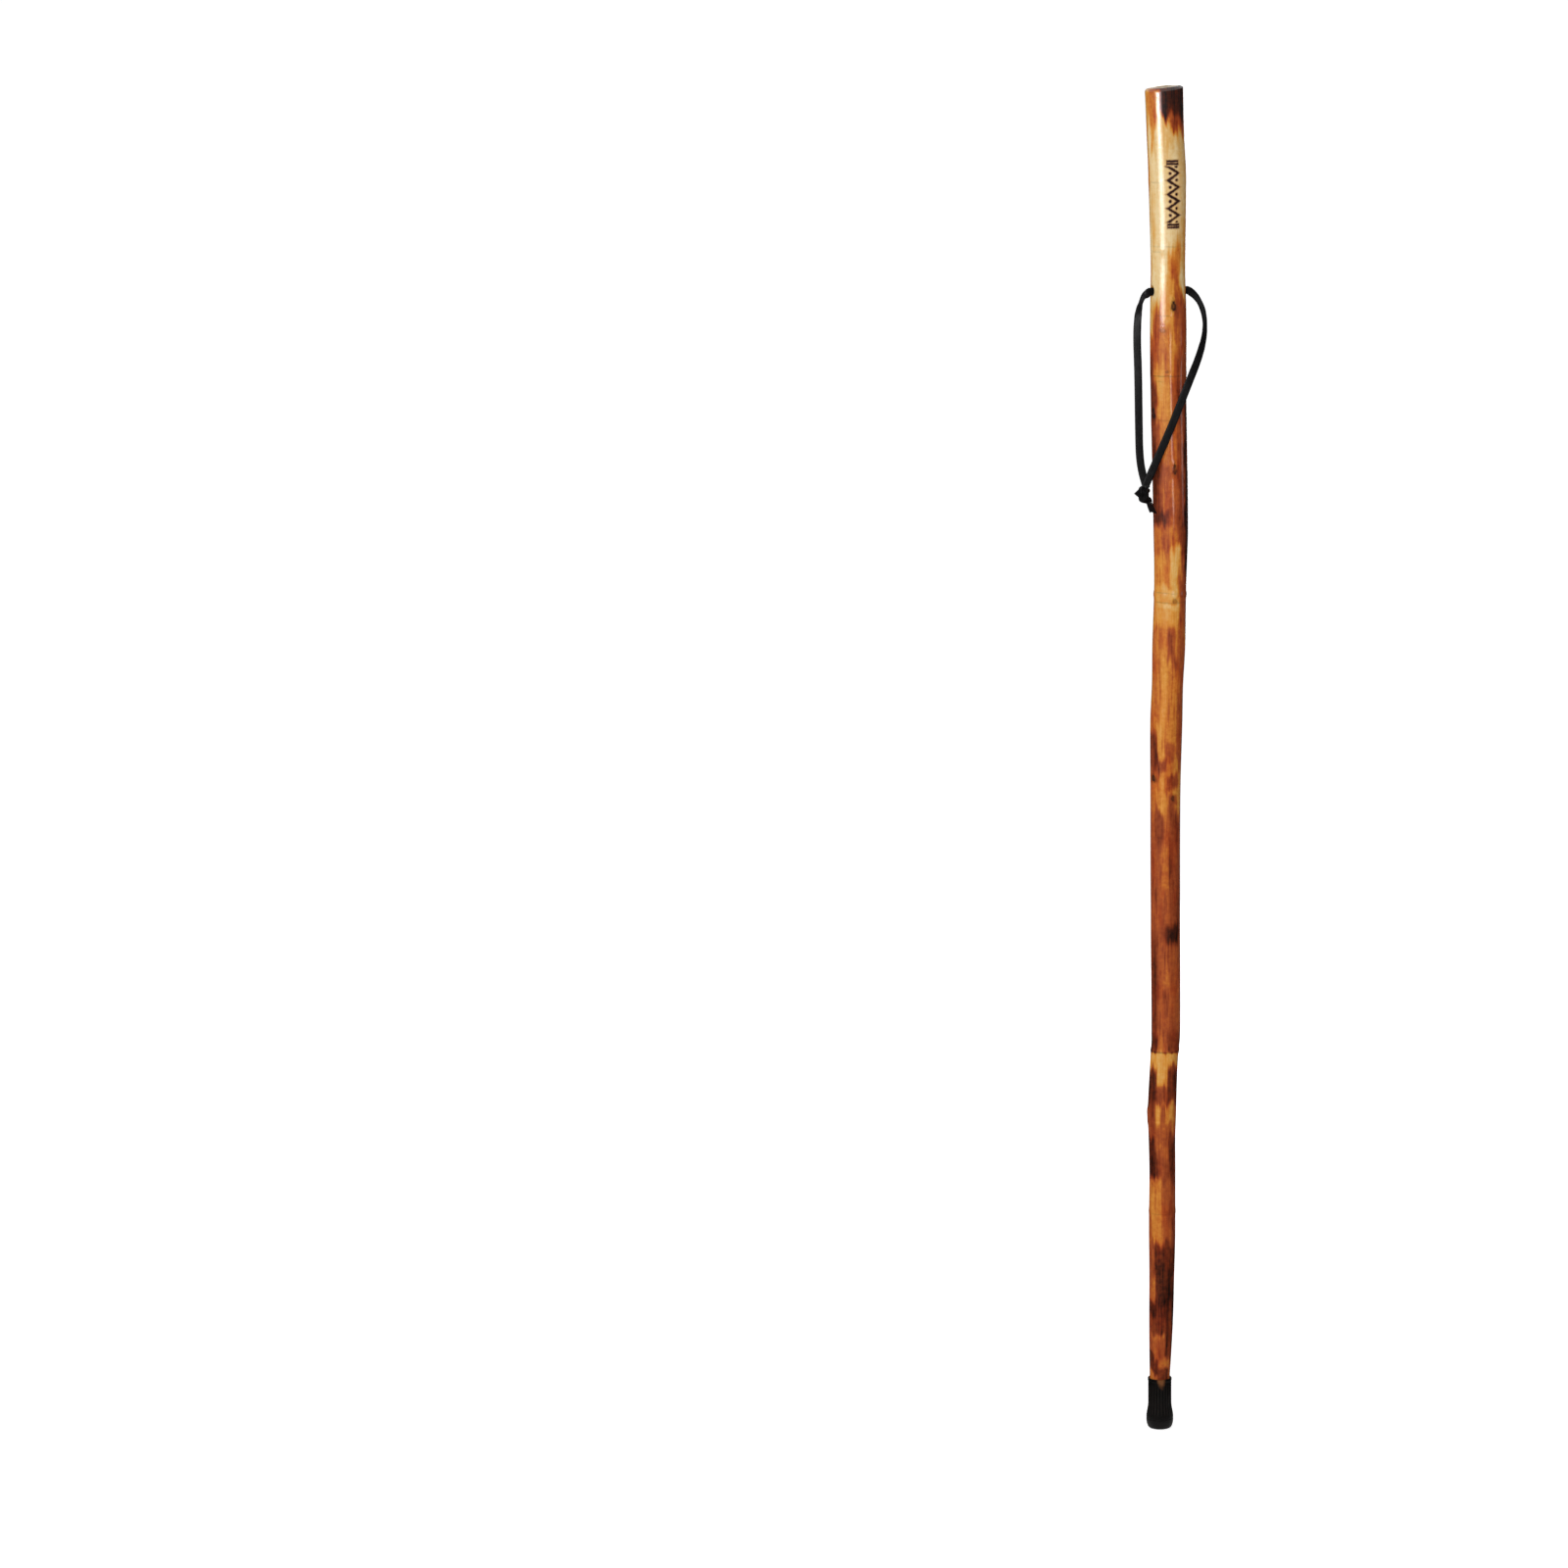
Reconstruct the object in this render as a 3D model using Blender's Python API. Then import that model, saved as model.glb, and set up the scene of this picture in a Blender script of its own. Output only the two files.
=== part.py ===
"""Walking staff: a tapered, slightly crooked sapling with a wrist lace and a rubber tip.

Metres, +Z up. The origin is the centre of the cross bore that the lace runs through.
"""

import math

import bmesh
import bpy
from mathutils import Matrix, Vector

MM = 0.001

# The whole staff
STAFF_LENGTH = 1.270  # top of the wood to the sole of the rubber tip
BORE_BELOW_TOP = 0.188  # the lace's cross bore
CLEARANCE = 0.0003  # between pieces that fit or rest on each other

# The wooden shaft
TOP_DIAMETER = 0.035
SHANK_DIAMETER = 0.0190  # the plain round foot inside the rubber tip
SHANK_LEAD = 0.0015  # how far the plain foot shows above the rubber
SHANK_CHAMFER = 0.0010
TOP_EDGE_RADIUS = 0.0035
TOP_DOME = 0.0008
TOP_SLANT = 0.0045  # the saw cut drops this much towards the left
TOP_SLANT_REACH = 0.022
OVAL = 0.008  # how far a section is from round, as a share of its radius
SHAFT_SIDES = 28
SHAFT_STEP = 0.020

# The cross bore and the lace
BORE_DIAMETER = 0.0095
BORE_TURN = math.radians(20)  # its left mouth is turned towards the viewer
BORE_EASE = 0.0008  # the mouths' rounded edge
BORE_SIDES = 24
LACE_WIDTH = 0.0072
LACE_THICKNESS = 0.0018
LACE_CORNER = 0.0004
LACE_STEP = 0.0036
LACE_PROUD = 0.0006  # how far the bore's stretch stands out of each mouth
LACE_STRAIGHT = 0.0016  # how far each leg runs straight out of its mouth
SHORT_TAIL_CUT = -0.0004  # the ends are trimmed on a slant
LONG_TAIL_CUT = 0.0028

# The rubber tip and its washer
TIP_HEIGHT = 0.0487
TIP_WALL = 0.0012
TIP_LIP = 0.0003  # the rim's bead stands out this much
TIP_LIP_HEIGHT = 0.0026
TIP_FLARE = 0.0018  # the foot is this much wider, each side
TIP_FLARE_START = 0.024
TIP_FLARE_END = 0.0385
TIP_RING_DEPTH = 0.0004
TIP_SOLE_THICKNESS = 0.0085
TIP_SOLE_RADIUS = 0.0095
TIP_TREAD_WIDTH = 0.0012
TIP_TREAD_DEPTH = 0.0011
TIP_SIDES = 40
WASHER_THICKNESS = 0.0016
WASHER_HOLE = 0.0065
WASHER_CHAMFER = 0.0002

# The overhand knot
KNOT_CENTRE = Vector((-21.4, -16.0, -186.5)) * MM
KNOT_SCALE = Vector((1.6, 2.2, 2.2)) * MM  # right, towards the viewer, up
KNOT_STRAND = Vector((4.2, 3.2)) * MM
KNOT_STEP = 0.0009
KNOT_SIDES = 16
KNOT_FLAT_SHARE = 0.17  # of the strand's length, where it goes from flat to round
KNOT_VOXEL = 0.00045
KNOT_SHARE_KEPT = 0.26
KNOT_GAP = 0.0005  # its pressed surface is less even than a cut face

# The sapling's girth: share of the way down to the tip, and share of the taper that is left
GIRTH = (
    (0.000, 1.00), (0.040, 0.97), (0.070, 0.99), (0.105, 0.90), (0.140, 0.80),
    (0.165, 0.89), (0.190, 0.94), (0.250, 0.87), (0.335, 0.81), (0.380, 0.65),
    (0.425, 0.71), (0.455, 0.61), (0.485, 0.65), (0.545, 0.55), (0.640, 0.54),
    (0.725, 0.51), (0.745, 0.44), (0.790, 0.49), (0.810, 0.39), (0.840, 0.35),
    (0.885, 0.37), (0.920, 0.28), (0.950, 0.22), (0.980, 0.11), (1.000, 0.00),
)  # fmt: skip

# The sapling's bends: share of the way down, millimetres to the right, millimetres to the back
BENDS = (
    (0.000, -4.0, 1.4), (0.040, -2.4, 1.0), (0.070, -0.9, 0.7), (0.154, -0.1, 0.0),
    (0.220, 0.1, -0.2), (0.270, 0.9, -0.2), (0.335, 2.3, 0.2), (0.380, 1.8, 0.8),
    (0.425, 0.5, 1.6), (0.485, -1.8, 2.6), (0.550, -2.7, 3.4), (0.640, -2.7, 3.8),
    (0.730, -2.3, 3.2), (0.750, -3.9, 2.9), (0.790, -5.9, 2.4), (0.840, -5.5, 1.9),
    (0.920, -6.1, 0.9), (0.980, -7.4, 0.2), (1.000, -8.0, 0.0),
)  # fmt: skip

# Growth rings that stand up: share of the way down, millimetres of rise, millimetres half wide
RINGS = ((0.072, 0.20, 3.0), (0.122, 0.20, 3.0), (0.217, 0.30, 4.0), (0.254, 0.25, 3.0),
         (0.3855, 0.55, 4.0), (0.741, 0.55, 3.5), (0.868, 0.30, 4.0))  # fmt: skip

# Pruned branch stubs: share of the way down, degrees from the front towards the right,
# millimetres of rise, half height and half width
STUBS = (
    (0.165, 18, 0.60, 8.0, 4.0), (0.246, -62, 0.90, 7.0, 5.0), (0.288, 17, 0.60, 6.0, 5.0),
    (0.345, 150, 1.00, 8.0, 5.0), (0.431, -128, 0.90, 8.0, 5.0), (0.524, 2, 0.60, 6.0, 4.0),
    (0.543, 25, 0.50, 6.0, 4.0), (0.596, 172, 1.00, 8.0, 5.0), (0.648, 36, 0.60, 7.0, 4.0),
    (0.792, -88, 0.90, 9.0, 5.0), (0.850, 140, 0.80, 7.0, 4.0), (0.906, -30, 0.45, 6.0, 4.0),
)  # fmt: skip

# The lace's routes below its straight start, in millimetres, each with the way its width faces
LEFT_ROUTE = (
    ((-19.1, -6.9, -2.4), (0.0, 0.1, 1.0)),
    ((-22.7, -7.5, -5.4), (-0.2, 0.8, 0.6)),
    ((-25.0, -8.0, -10.6), (-0.4, 0.9, 0.1)),
    ((-26.5, -8.5, -16.2), (-0.7, 0.7, 0.0)),
    ((-27.6, -9.2, -23.5), (-0.9, 0.4, 0.0)),
    ((-28.3, -10.0, -36.0), (-1.0, 0.2, 0.0)),
    ((-28.3, -10.6, -50.0), (-1.0, 0.1, 0.0)),
    ((-27.8, -11.1, -65.0), (-1.0, 0.1, 0.0)),
    ((-27.4, -11.8, -82.0), (-1.0, 0.1, 0.0)),
    ((-27.1, -12.8, -104.0), (-1.0, 0.0, 0.0)),
    ((-26.8, -13.8, -126.0), (-1.0, 0.0, 0.0)),
    ((-26.4, -14.7, -144.0), (-1.0, 0.0, 0.0)),
    ((-25.4, -15.4, -157.0), (-1.0, 0.0, 0.0)),
    ((-23.4, -15.9, -168.0), (-1.0, 0.0, 0.0)),
)
RIGHT_ROUTE = (
    ((20.6, 6.9, -2.6), (0.0, 0.1, 1.0)),
    ((25.0, 7.1, -6.6), (0.3, 0.6, 0.7)),
    ((28.8, 6.6, -12.2), (0.5, 0.8, 0.2)),
    ((31.4, 5.4, -18.2), (0.6, 0.8, 0.0)),
    ((33.0, 3.2, -25.0), (0.5, 0.9, 0.0)),
    ((33.6, 0.0, -32.0), (0.4, 0.9, 0.0)),
    ((33.3, -3.8, -38.8), (0.5, 0.9, 0.0)),
    ((32.2, -7.2, -45.4), (0.6, 0.8, 0.0)),
    ((30.0, -10.6, -53.8), (0.8, 0.6, 0.0)),
    ((26.6, -13.9, -63.8), (0.9, 0.4, 0.0)),
    ((22.4, -16.2, -74.4), (1.0, 0.2, 0.0)),
    ((16.4, -17.6, -89.5), (1.0, 0.0, 0.0)),
    ((10.6, -17.9, -104.5), (1.0, 0.0, 0.0)),
    ((3.4, -18.0, -122.5), (1.0, 0.0, 0.0)),
    ((-4.0, -18.0, -140.0), (1.0, 0.0, 0.0)),
    ((-10.8, -18.0, -155.5), (1.0, 0.0, 0.0)),
    ((-16.2, -18.1, -168.0), (1.0, 0.0, 0.0)),
)

# The tails' routes. The root of each is part of the knot
SHORT_TAIL_ROOT = (
    ((-18.4, -15.0, -193.4), (0.7, 0.0, 0.7)),
    ((-18.8, -12.6, -193.0), (0.7, 0.0, 0.7)),
    ((-20.2, -11.1, -191.8), (0.7, 0.0, 0.7)),
    ((-21.8, -10.6, -190.4), (0.7, 0.0, 0.7)),
)
SHORT_TAIL_ROUTE = (
    ((-25.2, -10.6, -187.4), (0.7, 0.0, 0.7)),
    ((-28.6, -11.6, -184.3), (0.7, 0.1, 0.7)),
)
LONG_TAIL_ROOT = (
    ((-19.6, -13.6, -189.0), (0.6, 0.7, 0.0)),
    ((-18.2, -15.2, -192.2), (0.6, 0.7, 0.0)),
    ((-17.1, -16.2, -195.2), (0.6, 0.7, 0.0)),
)
LONG_TAIL_ROUTE = (
    ((-16.0, -16.7, -198.4), (0.6, 0.7, 0.0)),
    ((-14.9, -17.0, -201.2), (0.6, 0.7, 0.1)),
    ((-14.2, -17.1, -203.0), (0.6, 0.7, 0.1)),
)

# The knot's centre line in its own units: right, towards the viewer, up
KNOT_LINE = (
    (0.6, 0.8, 3.7), (0.9, 1.1, 2.5), (1.3, 1.1, 1.2), (-0.5, 0.2, 0.9), (-2.0, -1.0, -1.0),
    (-1.6, 0.0, -2.6), (0.1, 1.0, -2.2), (1.1, 0.0, 0.0), (0.1, -1.0, 2.2), (-1.6, 0.0, 2.6),
    (-2.0, 1.0, 1.0), (-0.5, 0.0, -0.9), (1.2, -0.9, -1.3), (1.9, -0.4, -2.2),
)  # fmt: skip

# Places that follow from the sizes
TOP = BORE_BELOW_TOP
SOLE = TOP - STAFF_LENGTH
TIP_RIM = SOLE + TIP_HEIGHT
STEM = TOP - TIP_RIM - SHANK_LEAD
WASHER_BASE = SOLE + TIP_SOLE_THICKNESS + CLEARANCE
WOOD_END = WASHER_BASE + WASHER_THICKNESS + CLEARANCE
TIP_BORE_RADIUS = SHANK_DIAMETER / 2 + CLEARANCE
BORE_AXIS = Vector((math.cos(BORE_TURN), math.sin(BORE_TURN), 0))
LACE_DROP = math.sqrt((BORE_DIAMETER / 2 - CLEARANCE) ** 2 - (LACE_THICKNESS / 2) ** 2) - LACE_WIDTH / 2


def hermite(table, at):
    """Smooth value of each column of a table at a place in its first column."""
    last = len(table) - 1
    at = min(max(at, table[0][0]), table[last][0])
    i = max(k for k in range(last) if table[k][0] <= at)
    before, low, high, after = (table[min(max(k, 0), last)] for k in (i - 1, i, i + 1, i + 2))
    span = high[0] - low[0]
    t = (at - low[0]) / span
    values = []
    for c in range(1, len(low)):
        slope_low = (high[c] - before[c]) / (high[0] - before[0]) * span
        slope_high = (after[c] - low[c]) / (after[0] - low[0]) * span
        values.append(
            (2 * t**3 - 3 * t**2 + 1) * low[c]
            + (t**3 - 2 * t**2 + t) * slope_low
            + (3 * t**2 - 2 * t**3) * high[c]
            + (t**3 - t**2) * slope_high
        )
    return values


def share_at(z):
    """Share of the way down the stem, from the top end to the plain foot."""
    return min(max((TOP - z) / STEM, 0.0), 1.0)


BORE_RIGHT, BORE_BACK = hermite(BENDS, share_at(0.0))


def stem_centre(z):
    """Middle of the shaft at a height. It passes through the origin at the bore."""
    right, back = hermite(BENDS, share_at(z))
    return Vector(((right - BORE_RIGHT) * MM, (back - BORE_BACK) * MM, z))


def stem_radius(z):
    """Mean radius of the shaft at a height, without its rings and stubs."""
    fullness = hermite(GIRTH, share_at(z))[0]
    return (SHANK_DIAMETER + fullness * (TOP_DIAMETER - SHANK_DIAMETER)) / 2


def swelling(z, angle):
    """Rise of the rings and branch stubs at a height and an angle."""
    rise = 0.0
    for share, height, half in RINGS:
        away = (z - TOP + share * STEM) / (half * MM)
        rise += height * MM * math.exp(-2 * away**2)
    for share, degrees, height, tall, wide in STUBS:
        up = (z - TOP + share * STEM) / (tall * MM)
        turn = (angle - math.radians(degrees) + math.pi) % (2 * math.pi) - math.pi
        across = turn * stem_radius(z) / (wide * MM)
        rise += height * MM * math.exp(-2 * (up**2 + across**2))
    return rise


def stem_section(z, shrink=0.0, lift=0.0):
    """Points round the shaft. shrink pulls them in, and lift raises them with the slanted cut."""
    centre, radius = stem_centre(z), stem_radius(z)
    organic = 1.0 if share_at(z) < 0.97 else max(0.0, (1.0 - share_at(z)) / 0.03)
    slanted = max(0.0, 1 - (TOP - z) / TOP_SLANT_REACH) ** 2
    points = []
    for k in range(SHAFT_SIDES):
        angle = 2 * math.pi * k / SHAFT_SIDES
        oval = OVAL * (math.cos(2 * angle + 9 * z) + 0.5 * math.cos(3 * angle - 14 * z))
        r = radius * (1 + organic * oval) + organic * swelling(z, angle) - shrink
        x, y = r * math.sin(angle), -r * math.cos(angle)
        drop = TOP_SLANT * slanted * (1 - x / radius) / 2
        points.append(centre + Vector((x, y, lift - drop)))
    return points


def stem_heights():
    """Heights of the shaft's sections, closer together at rings and stubs."""
    heights = [TOP - TOP_EDGE_RADIUS - SHAFT_STEP * k for k in range(int(STEM / SHAFT_STEP) + 1)]
    for share, _, half in RINGS:
        heights += [TOP - share * STEM + s * half * MM for s in (-1.3, -0.6, 0, 0.6, 1.3)]
    for share, _, _, tall, _ in STUBS:
        heights += [TOP - share * STEM + s * tall * MM for s in (-0.8, 0, 0.8)]
    kept = [TOP - TOP_EDGE_RADIUS]
    for z in sorted(heights, reverse=True):
        if TIP_RIM + SHANK_LEAD + SHAFT_STEP / 4 < z < kept[-1] - SHAFT_STEP / 11:
            kept.append(z)
    return kept


def add_loft(bm, sections):
    """Adds a closed skin through a list of equal rings of points."""
    rings = [[bm.verts.new(p) for p in section] for section in sections]
    count = len(rings[0])
    faces = []
    for above, below in zip(rings, rings[1:]):
        for k in range(count):
            n = (k + 1) % count
            faces.append(bm.faces.new((above[k], above[n], below[n], below[k])))
    for ring in (rings[0], rings[-1]):
        middle = bm.verts.new(sum((v.co for v in ring), Vector()) / count)
        for k in range(count):
            faces.append(bm.faces.new((ring[k], ring[(k + 1) % count], middle)))
    bmesh.ops.recalc_face_normals(bm, faces=faces)


def loft(name, sections):
    """A closed solid through a list of equal rings of points."""
    bm = bmesh.new()
    add_loft(bm, sections)
    return finish_mesh(name, bm)


def lathe(name, profile, sides):
    """A closed solid turned about Z from a closed outline of (radius, height) pairs."""
    bm = bmesh.new()
    rings = []
    for radius, height in profile:
        if radius < CLEARANCE / 10:
            rings.append([bm.verts.new((0, 0, height))] * sides)
            continue
        turns = [2 * math.pi * k / sides for k in range(sides)]
        rings.append([bm.verts.new((radius * math.cos(a), radius * math.sin(a), height)) for a in turns])
    for here, there in zip(rings, rings[1:] + rings[:1]):
        for k in range(sides):
            n = (k + 1) % sides
            corners = list(dict.fromkeys((here[k], here[n], there[n], there[k])))
            if len(corners) > 2:
                bm.faces.new(corners)
    bmesh.ops.recalc_face_normals(bm, faces=bm.faces)
    return finish_mesh(name, bm)


def finish_mesh(name, bm):
    """Turns a bmesh into an object, shaded smooth between its sharp edges."""
    mesh = bpy.data.meshes.new(name)
    bm.to_mesh(mesh)
    bm.free()
    mesh.shade_smooth()
    mesh.set_sharp_from_angle(angle=math.radians(40))
    ob = bpy.data.objects.new(name, mesh)
    bpy.context.collection.objects.link(ob)
    return ob


def finish(name, colour, roughness, metallic=0.0):
    """A plain material."""
    made = bpy.data.materials.new(name)
    made.use_nodes = True
    shader = made.node_tree.nodes["Principled BSDF"]
    shader.inputs["Base Color"].default_value = (*colour, 1)
    shader.inputs["Roughness"].default_value = roughness
    shader.inputs["Metallic"].default_value = metallic
    made.diffuse_color = (*colour, 1)
    return made


def guide(name, place):
    """An empty that carries the pieces of one moving body."""
    ob = bpy.data.objects.new(name, None)
    ob.location = place
    bpy.context.collection.objects.link(ob)
    return ob


def catmull(points, step):
    """Places at about equal steps on one smooth curve through a list of equal vectors."""
    dense = []
    for i in range(len(points) - 1):
        a, b, c, d = (points[min(max(k, 0), len(points) - 1)] for k in (i - 1, i, i + 1, i + 2))
        for n in range(40):
            t = n / 40
            dense.append(
                0.5 * (2 * b + (c - a) * t + (2 * a - 5 * b + 4 * c - d) * t**2
                       + (3 * b - a - 3 * c + d) * t**3)  # fmt: skip
            )
    dense.append(points[-1])
    reach = [0.0]
    for p, q in zip(dense, dense[1:]):
        reach.append(reach[-1] + (q.to_3d() - p.to_3d()).length)
    count = max(2, round(reach[-1] / step))
    placed, i = [], 0
    for n in range(count + 1):
        goal = reach[-1] * n / count
        while i < len(reach) - 2 and reach[i + 1] < goal:
            i += 1
        placed.append(dense[i].lerp(dense[i + 1], (goal - reach[i]) / (reach[i + 1] - reach[i])))
    return placed


def tangents(line):
    """Direction of a line of places at each of them."""
    last = len(line) - 1
    return [(line[min(i + 1, last)] - line[max(i - 1, 0)]).normalized() for i in range(last + 1)]


def lace_section(place, along, facing, cut=0.0):
    """Eight points of the flat lace's section. cut slants it, as for a trimmed end."""
    across = (facing - along * facing.dot(along)).normalized()
    outward = along.cross(across)
    a, b, c = LACE_WIDTH / 2, LACE_THICKNESS / 2, LACE_CORNER
    corners = [(a - c, b), (a, b - c), (a, c - b), (a - c, -b)]
    corners += [(-w, -n) for w, n in corners]
    return [place + across * w + outward * n + along * cut * (w / a) for w, n in corners]


def lace_sections(route, ends=(None, None), cut=0.0):
    """Sections of the flat lace along a route of places and facing directions.

    ends are the directions that its end faces are square to, where they meet another piece.
    """
    places = catmull([p for p, _ in route], LACE_STEP)
    along = tangents(places)
    along[0], along[-1] = ends[0] or along[0], ends[1] or along[-1]
    facings = spread([f for _, f in route], [p for p, _ in route], places)
    sections = [lace_section(p, t, f) for p, t, f in zip(places, along, facings)]
    sections[-1] = lace_section(places[-1], along[-1], facings[-1], cut)
    return sections


def lace_piece(name, route, ends=(None, None), cut=0.0):
    """A stretch of the flat lace as a solid of its own."""
    return loft(name, lace_sections(route, ends, cut))


def root_end(root):
    """Place, direction and facing of the lace where a tail's root ends."""
    (before, _), (place, facing) = route_of(root)[-2:]
    return place, (place - before).normalized(), facing


def spread(facings, marks, places):
    """The facing at each place, from those at the route's own marks."""
    found, i = [], 0
    for p in places:
        while i < len(marks) - 2 and (p - marks[i + 1]).dot(marks[i + 1] - marks[i]) > 0:
            i += 1
        run = marks[i + 1] - marks[i]
        t = min(max((p - marks[i]).dot(run) / run.length_squared, 0.0), 1.0)
        t = t * t * (3 - 2 * t)
        found.append(facings[i].normalized().lerp(facings[i + 1].normalized(), t).normalized())
    return found


def route_of(rows):
    """A route's rows as vectors in metres."""
    return [(Vector(place) * MM, Vector(facing)) for place, facing in rows]


def mouth(side, beyond):
    """A place on the lace's line, this far beyond the shaft's side. side is -1 left, 1 right."""
    return BORE_AXIS * side * (stem_radius(0.0) + beyond) - Vector((0, 0, LACE_DROP))


def knot_place(row):
    """A place in the world from the knot's own right, viewer and up units."""
    right, viewer, up = row
    return KNOT_CENTRE + Vector((right * KNOT_SCALE.x, -viewer * KNOT_SCALE.y, up * KNOT_SCALE.z))


def make_shaft():
    """The sapling, lofted through its sections and bored for the lace."""
    sections = []
    rounding = 4
    for k in range(rounding, 0, -1):
        angle = math.pi / 2 * k / rounding
        inward = TOP_EDGE_RADIUS * (1 - math.cos(angle))
        rise = TOP_EDGE_RADIUS * math.sin(angle)
        sections.append(stem_section(TOP - TOP_EDGE_RADIUS, inward, rise))
    face = stem_section(TOP - TOP_EDGE_RADIUS, stem_radius(TOP) / 2, TOP_EDGE_RADIUS + TOP_DOME)
    sections.insert(0, face)
    sections += [stem_section(z) for z in stem_heights()]
    sections.append(stem_section(TIP_RIM + SHANK_LEAD))
    sections.append(stem_section(WOOD_END + SHANK_CHAMFER))
    sections.append(stem_section(WOOD_END, SHANK_CHAMFER))
    shaft = loft("shaft", sections)
    radius, edge = BORE_DIAMETER / 2, stem_radius(0.0)
    flare = [(0, edge * 2), (radius + BORE_EASE * 2, edge * 2), (radius + BORE_EASE * 2, edge + BORE_EASE)]
    flare += [(radius, edge - BORE_EASE * 1.5)]
    cutter = lathe("bore_cutter", flare + [(r, -z) for r, z in reversed(flare)], BORE_SIDES)
    cutter.rotation_euler = (0, math.pi / 2, BORE_TURN)
    cutter.hide_render = True
    cutter.display_type = "WIRE"
    bore = shaft.modifiers.new("cross_bore", "BOOLEAN")
    bore.operation = "DIFFERENCE"
    bore.solver = "EXACT"
    bore.object = cutter
    return shaft


def tip_profile():
    """The rubber tip's outline below its rim: outside, treaded sole, then the bore."""
    body = TIP_BORE_RADIUS + TIP_WALL
    lip = body + TIP_LIP
    outline = [(TIP_BORE_RADIUS + TIP_LIP, 0.0), (lip - TIP_LIP, 0.0), (lip, -TIP_LIP)]
    outline += [(lip, TIP_LIP - TIP_LIP_HEIGHT), (body, -TIP_LIP_HEIGHT)]
    for k in range(7):
        t = k / 6
        r = body + TIP_FLARE * (1 - math.cos(math.pi * t)) / 2
        outline.append((r, -(TIP_FLARE_START + (TIP_FLARE_END - TIP_FLARE_START) * t)))
    foot = body + TIP_FLARE
    ring = TIP_FLARE_END + TIP_RING_DEPTH
    outline += [(foot - TIP_RING_DEPTH, -ring), (foot - TIP_RING_DEPTH, -ring - TIP_RING_DEPTH)]
    outline.append((foot, -ring - 2 * TIP_RING_DEPTH))
    start = ring + 2 * TIP_RING_DEPTH
    for k in range(1, 7):
        angle = math.pi / 2 * k / 6
        r = TIP_SOLE_RADIUS + (foot - TIP_SOLE_RADIUS) * math.cos(angle)
        outline.append((r, -start - (TIP_HEIGHT - start) * math.sin(angle)))
    for share in (0.74, 0.4):
        middle = TIP_SOLE_RADIUS * share
        outer, inner = middle + TIP_TREAD_WIDTH / 2, middle - TIP_TREAD_WIDTH / 2
        outline += [(outer, -TIP_HEIGHT), (outer, TIP_TREAD_DEPTH - TIP_HEIGHT)]
        outline += [(inner, TIP_TREAD_DEPTH - TIP_HEIGHT), (inner, -TIP_HEIGHT)]
    outline.append((0.0, -TIP_HEIGHT))
    floor = TIP_SOLE_THICKNESS - TIP_HEIGHT
    outline += [(0.0, floor), (TIP_BORE_RADIUS, floor), (TIP_BORE_RADIUS, -TIP_LIP)]
    return outline


def make_tip(seat):
    """The rubber tip and the steel washer in its bore."""
    tip = lathe("rubber_tip", tip_profile(), TIP_SIDES)
    tip.parent = seat
    outer, inner, c = TIP_BORE_RADIUS - CLEARANCE, WASHER_HOLE / 2, WASHER_CHAMFER
    low, high = WASHER_BASE - TIP_RIM, WASHER_BASE - TIP_RIM + WASHER_THICKNESS
    outline = [(inner, low + c), (inner + c, low), (outer - c, low), (outer, low + c)]
    outline += [(outer, high - c), (outer - c, high), (inner + c, high), (inner, high - c)]
    washer = lathe("tip_washer", outline, TIP_SIDES)
    washer.parent = seat
    return tip, washer


def knot_strand():
    """Sections of the knot's tight strand. Its start is flat, where the two legs lie in it together."""
    line = catmull([knot_place(row) for row in KNOT_LINE], KNOT_STEP)
    facing = Vector((1, 0, 0))
    sections = []
    for i, (place, t) in enumerate(zip(line, tangents(line))):
        facing = (facing - t * facing.dot(t)).normalized()
        outward = t.cross(facing)
        flat = max(0.0, 1 - i / len(line) / KNOT_FLAT_SHARE)
        wide = KNOT_STRAND.x + (LACE_WIDTH - KNOT_STRAND.x) * flat
        thick = KNOT_STRAND.y + (2 * LACE_THICKNESS + CLEARANCE - KNOT_STRAND.y) * flat
        bulge = 1 / (1 + 2 * flat)
        ring = []
        for k in range(KNOT_SIDES):
            c, s = (f(2 * math.pi * k / KNOT_SIDES) for f in (math.cos, math.sin))
            w, n = (math.copysign(abs(v) ** bulge, v) / 2 for v in (c, s))
            ring.append(place + facing * w * wide + outward * n * thick)
        sections.append(ring)
    return sections


def make_knot():
    """The overhand knot: one tight strand on its own path, grown together where it presses."""
    bm = bmesh.new()
    shapes = [knot_strand()]
    for root in (SHORT_TAIL_ROOT, LONG_TAIL_ROOT):
        shapes.append(lace_sections(route_of(root), (None, root_end(root)[1])))
    for sections in shapes:
        add_loft(bm, sections)
    filling = Matrix.Translation(knot_place((-0.3, 0, 0))) @ Matrix.Diagonal((*KNOT_SCALE * 1.3, 1))
    bmesh.ops.create_uvsphere(bm, u_segments=16, v_segments=10, radius=1.0, matrix=filling)
    knot = finish_mesh("lace_knot", bm)
    press = knot.modifiers.new("press_together", "REMESH")
    press.mode = "VOXEL"
    press.voxel_size = KNOT_VOXEL
    press.use_smooth_shade = True
    thin = knot.modifiers.new("thin_out", "DECIMATE")
    thin.ratio = KNOT_SHARE_KEPT
    return knot


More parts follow.
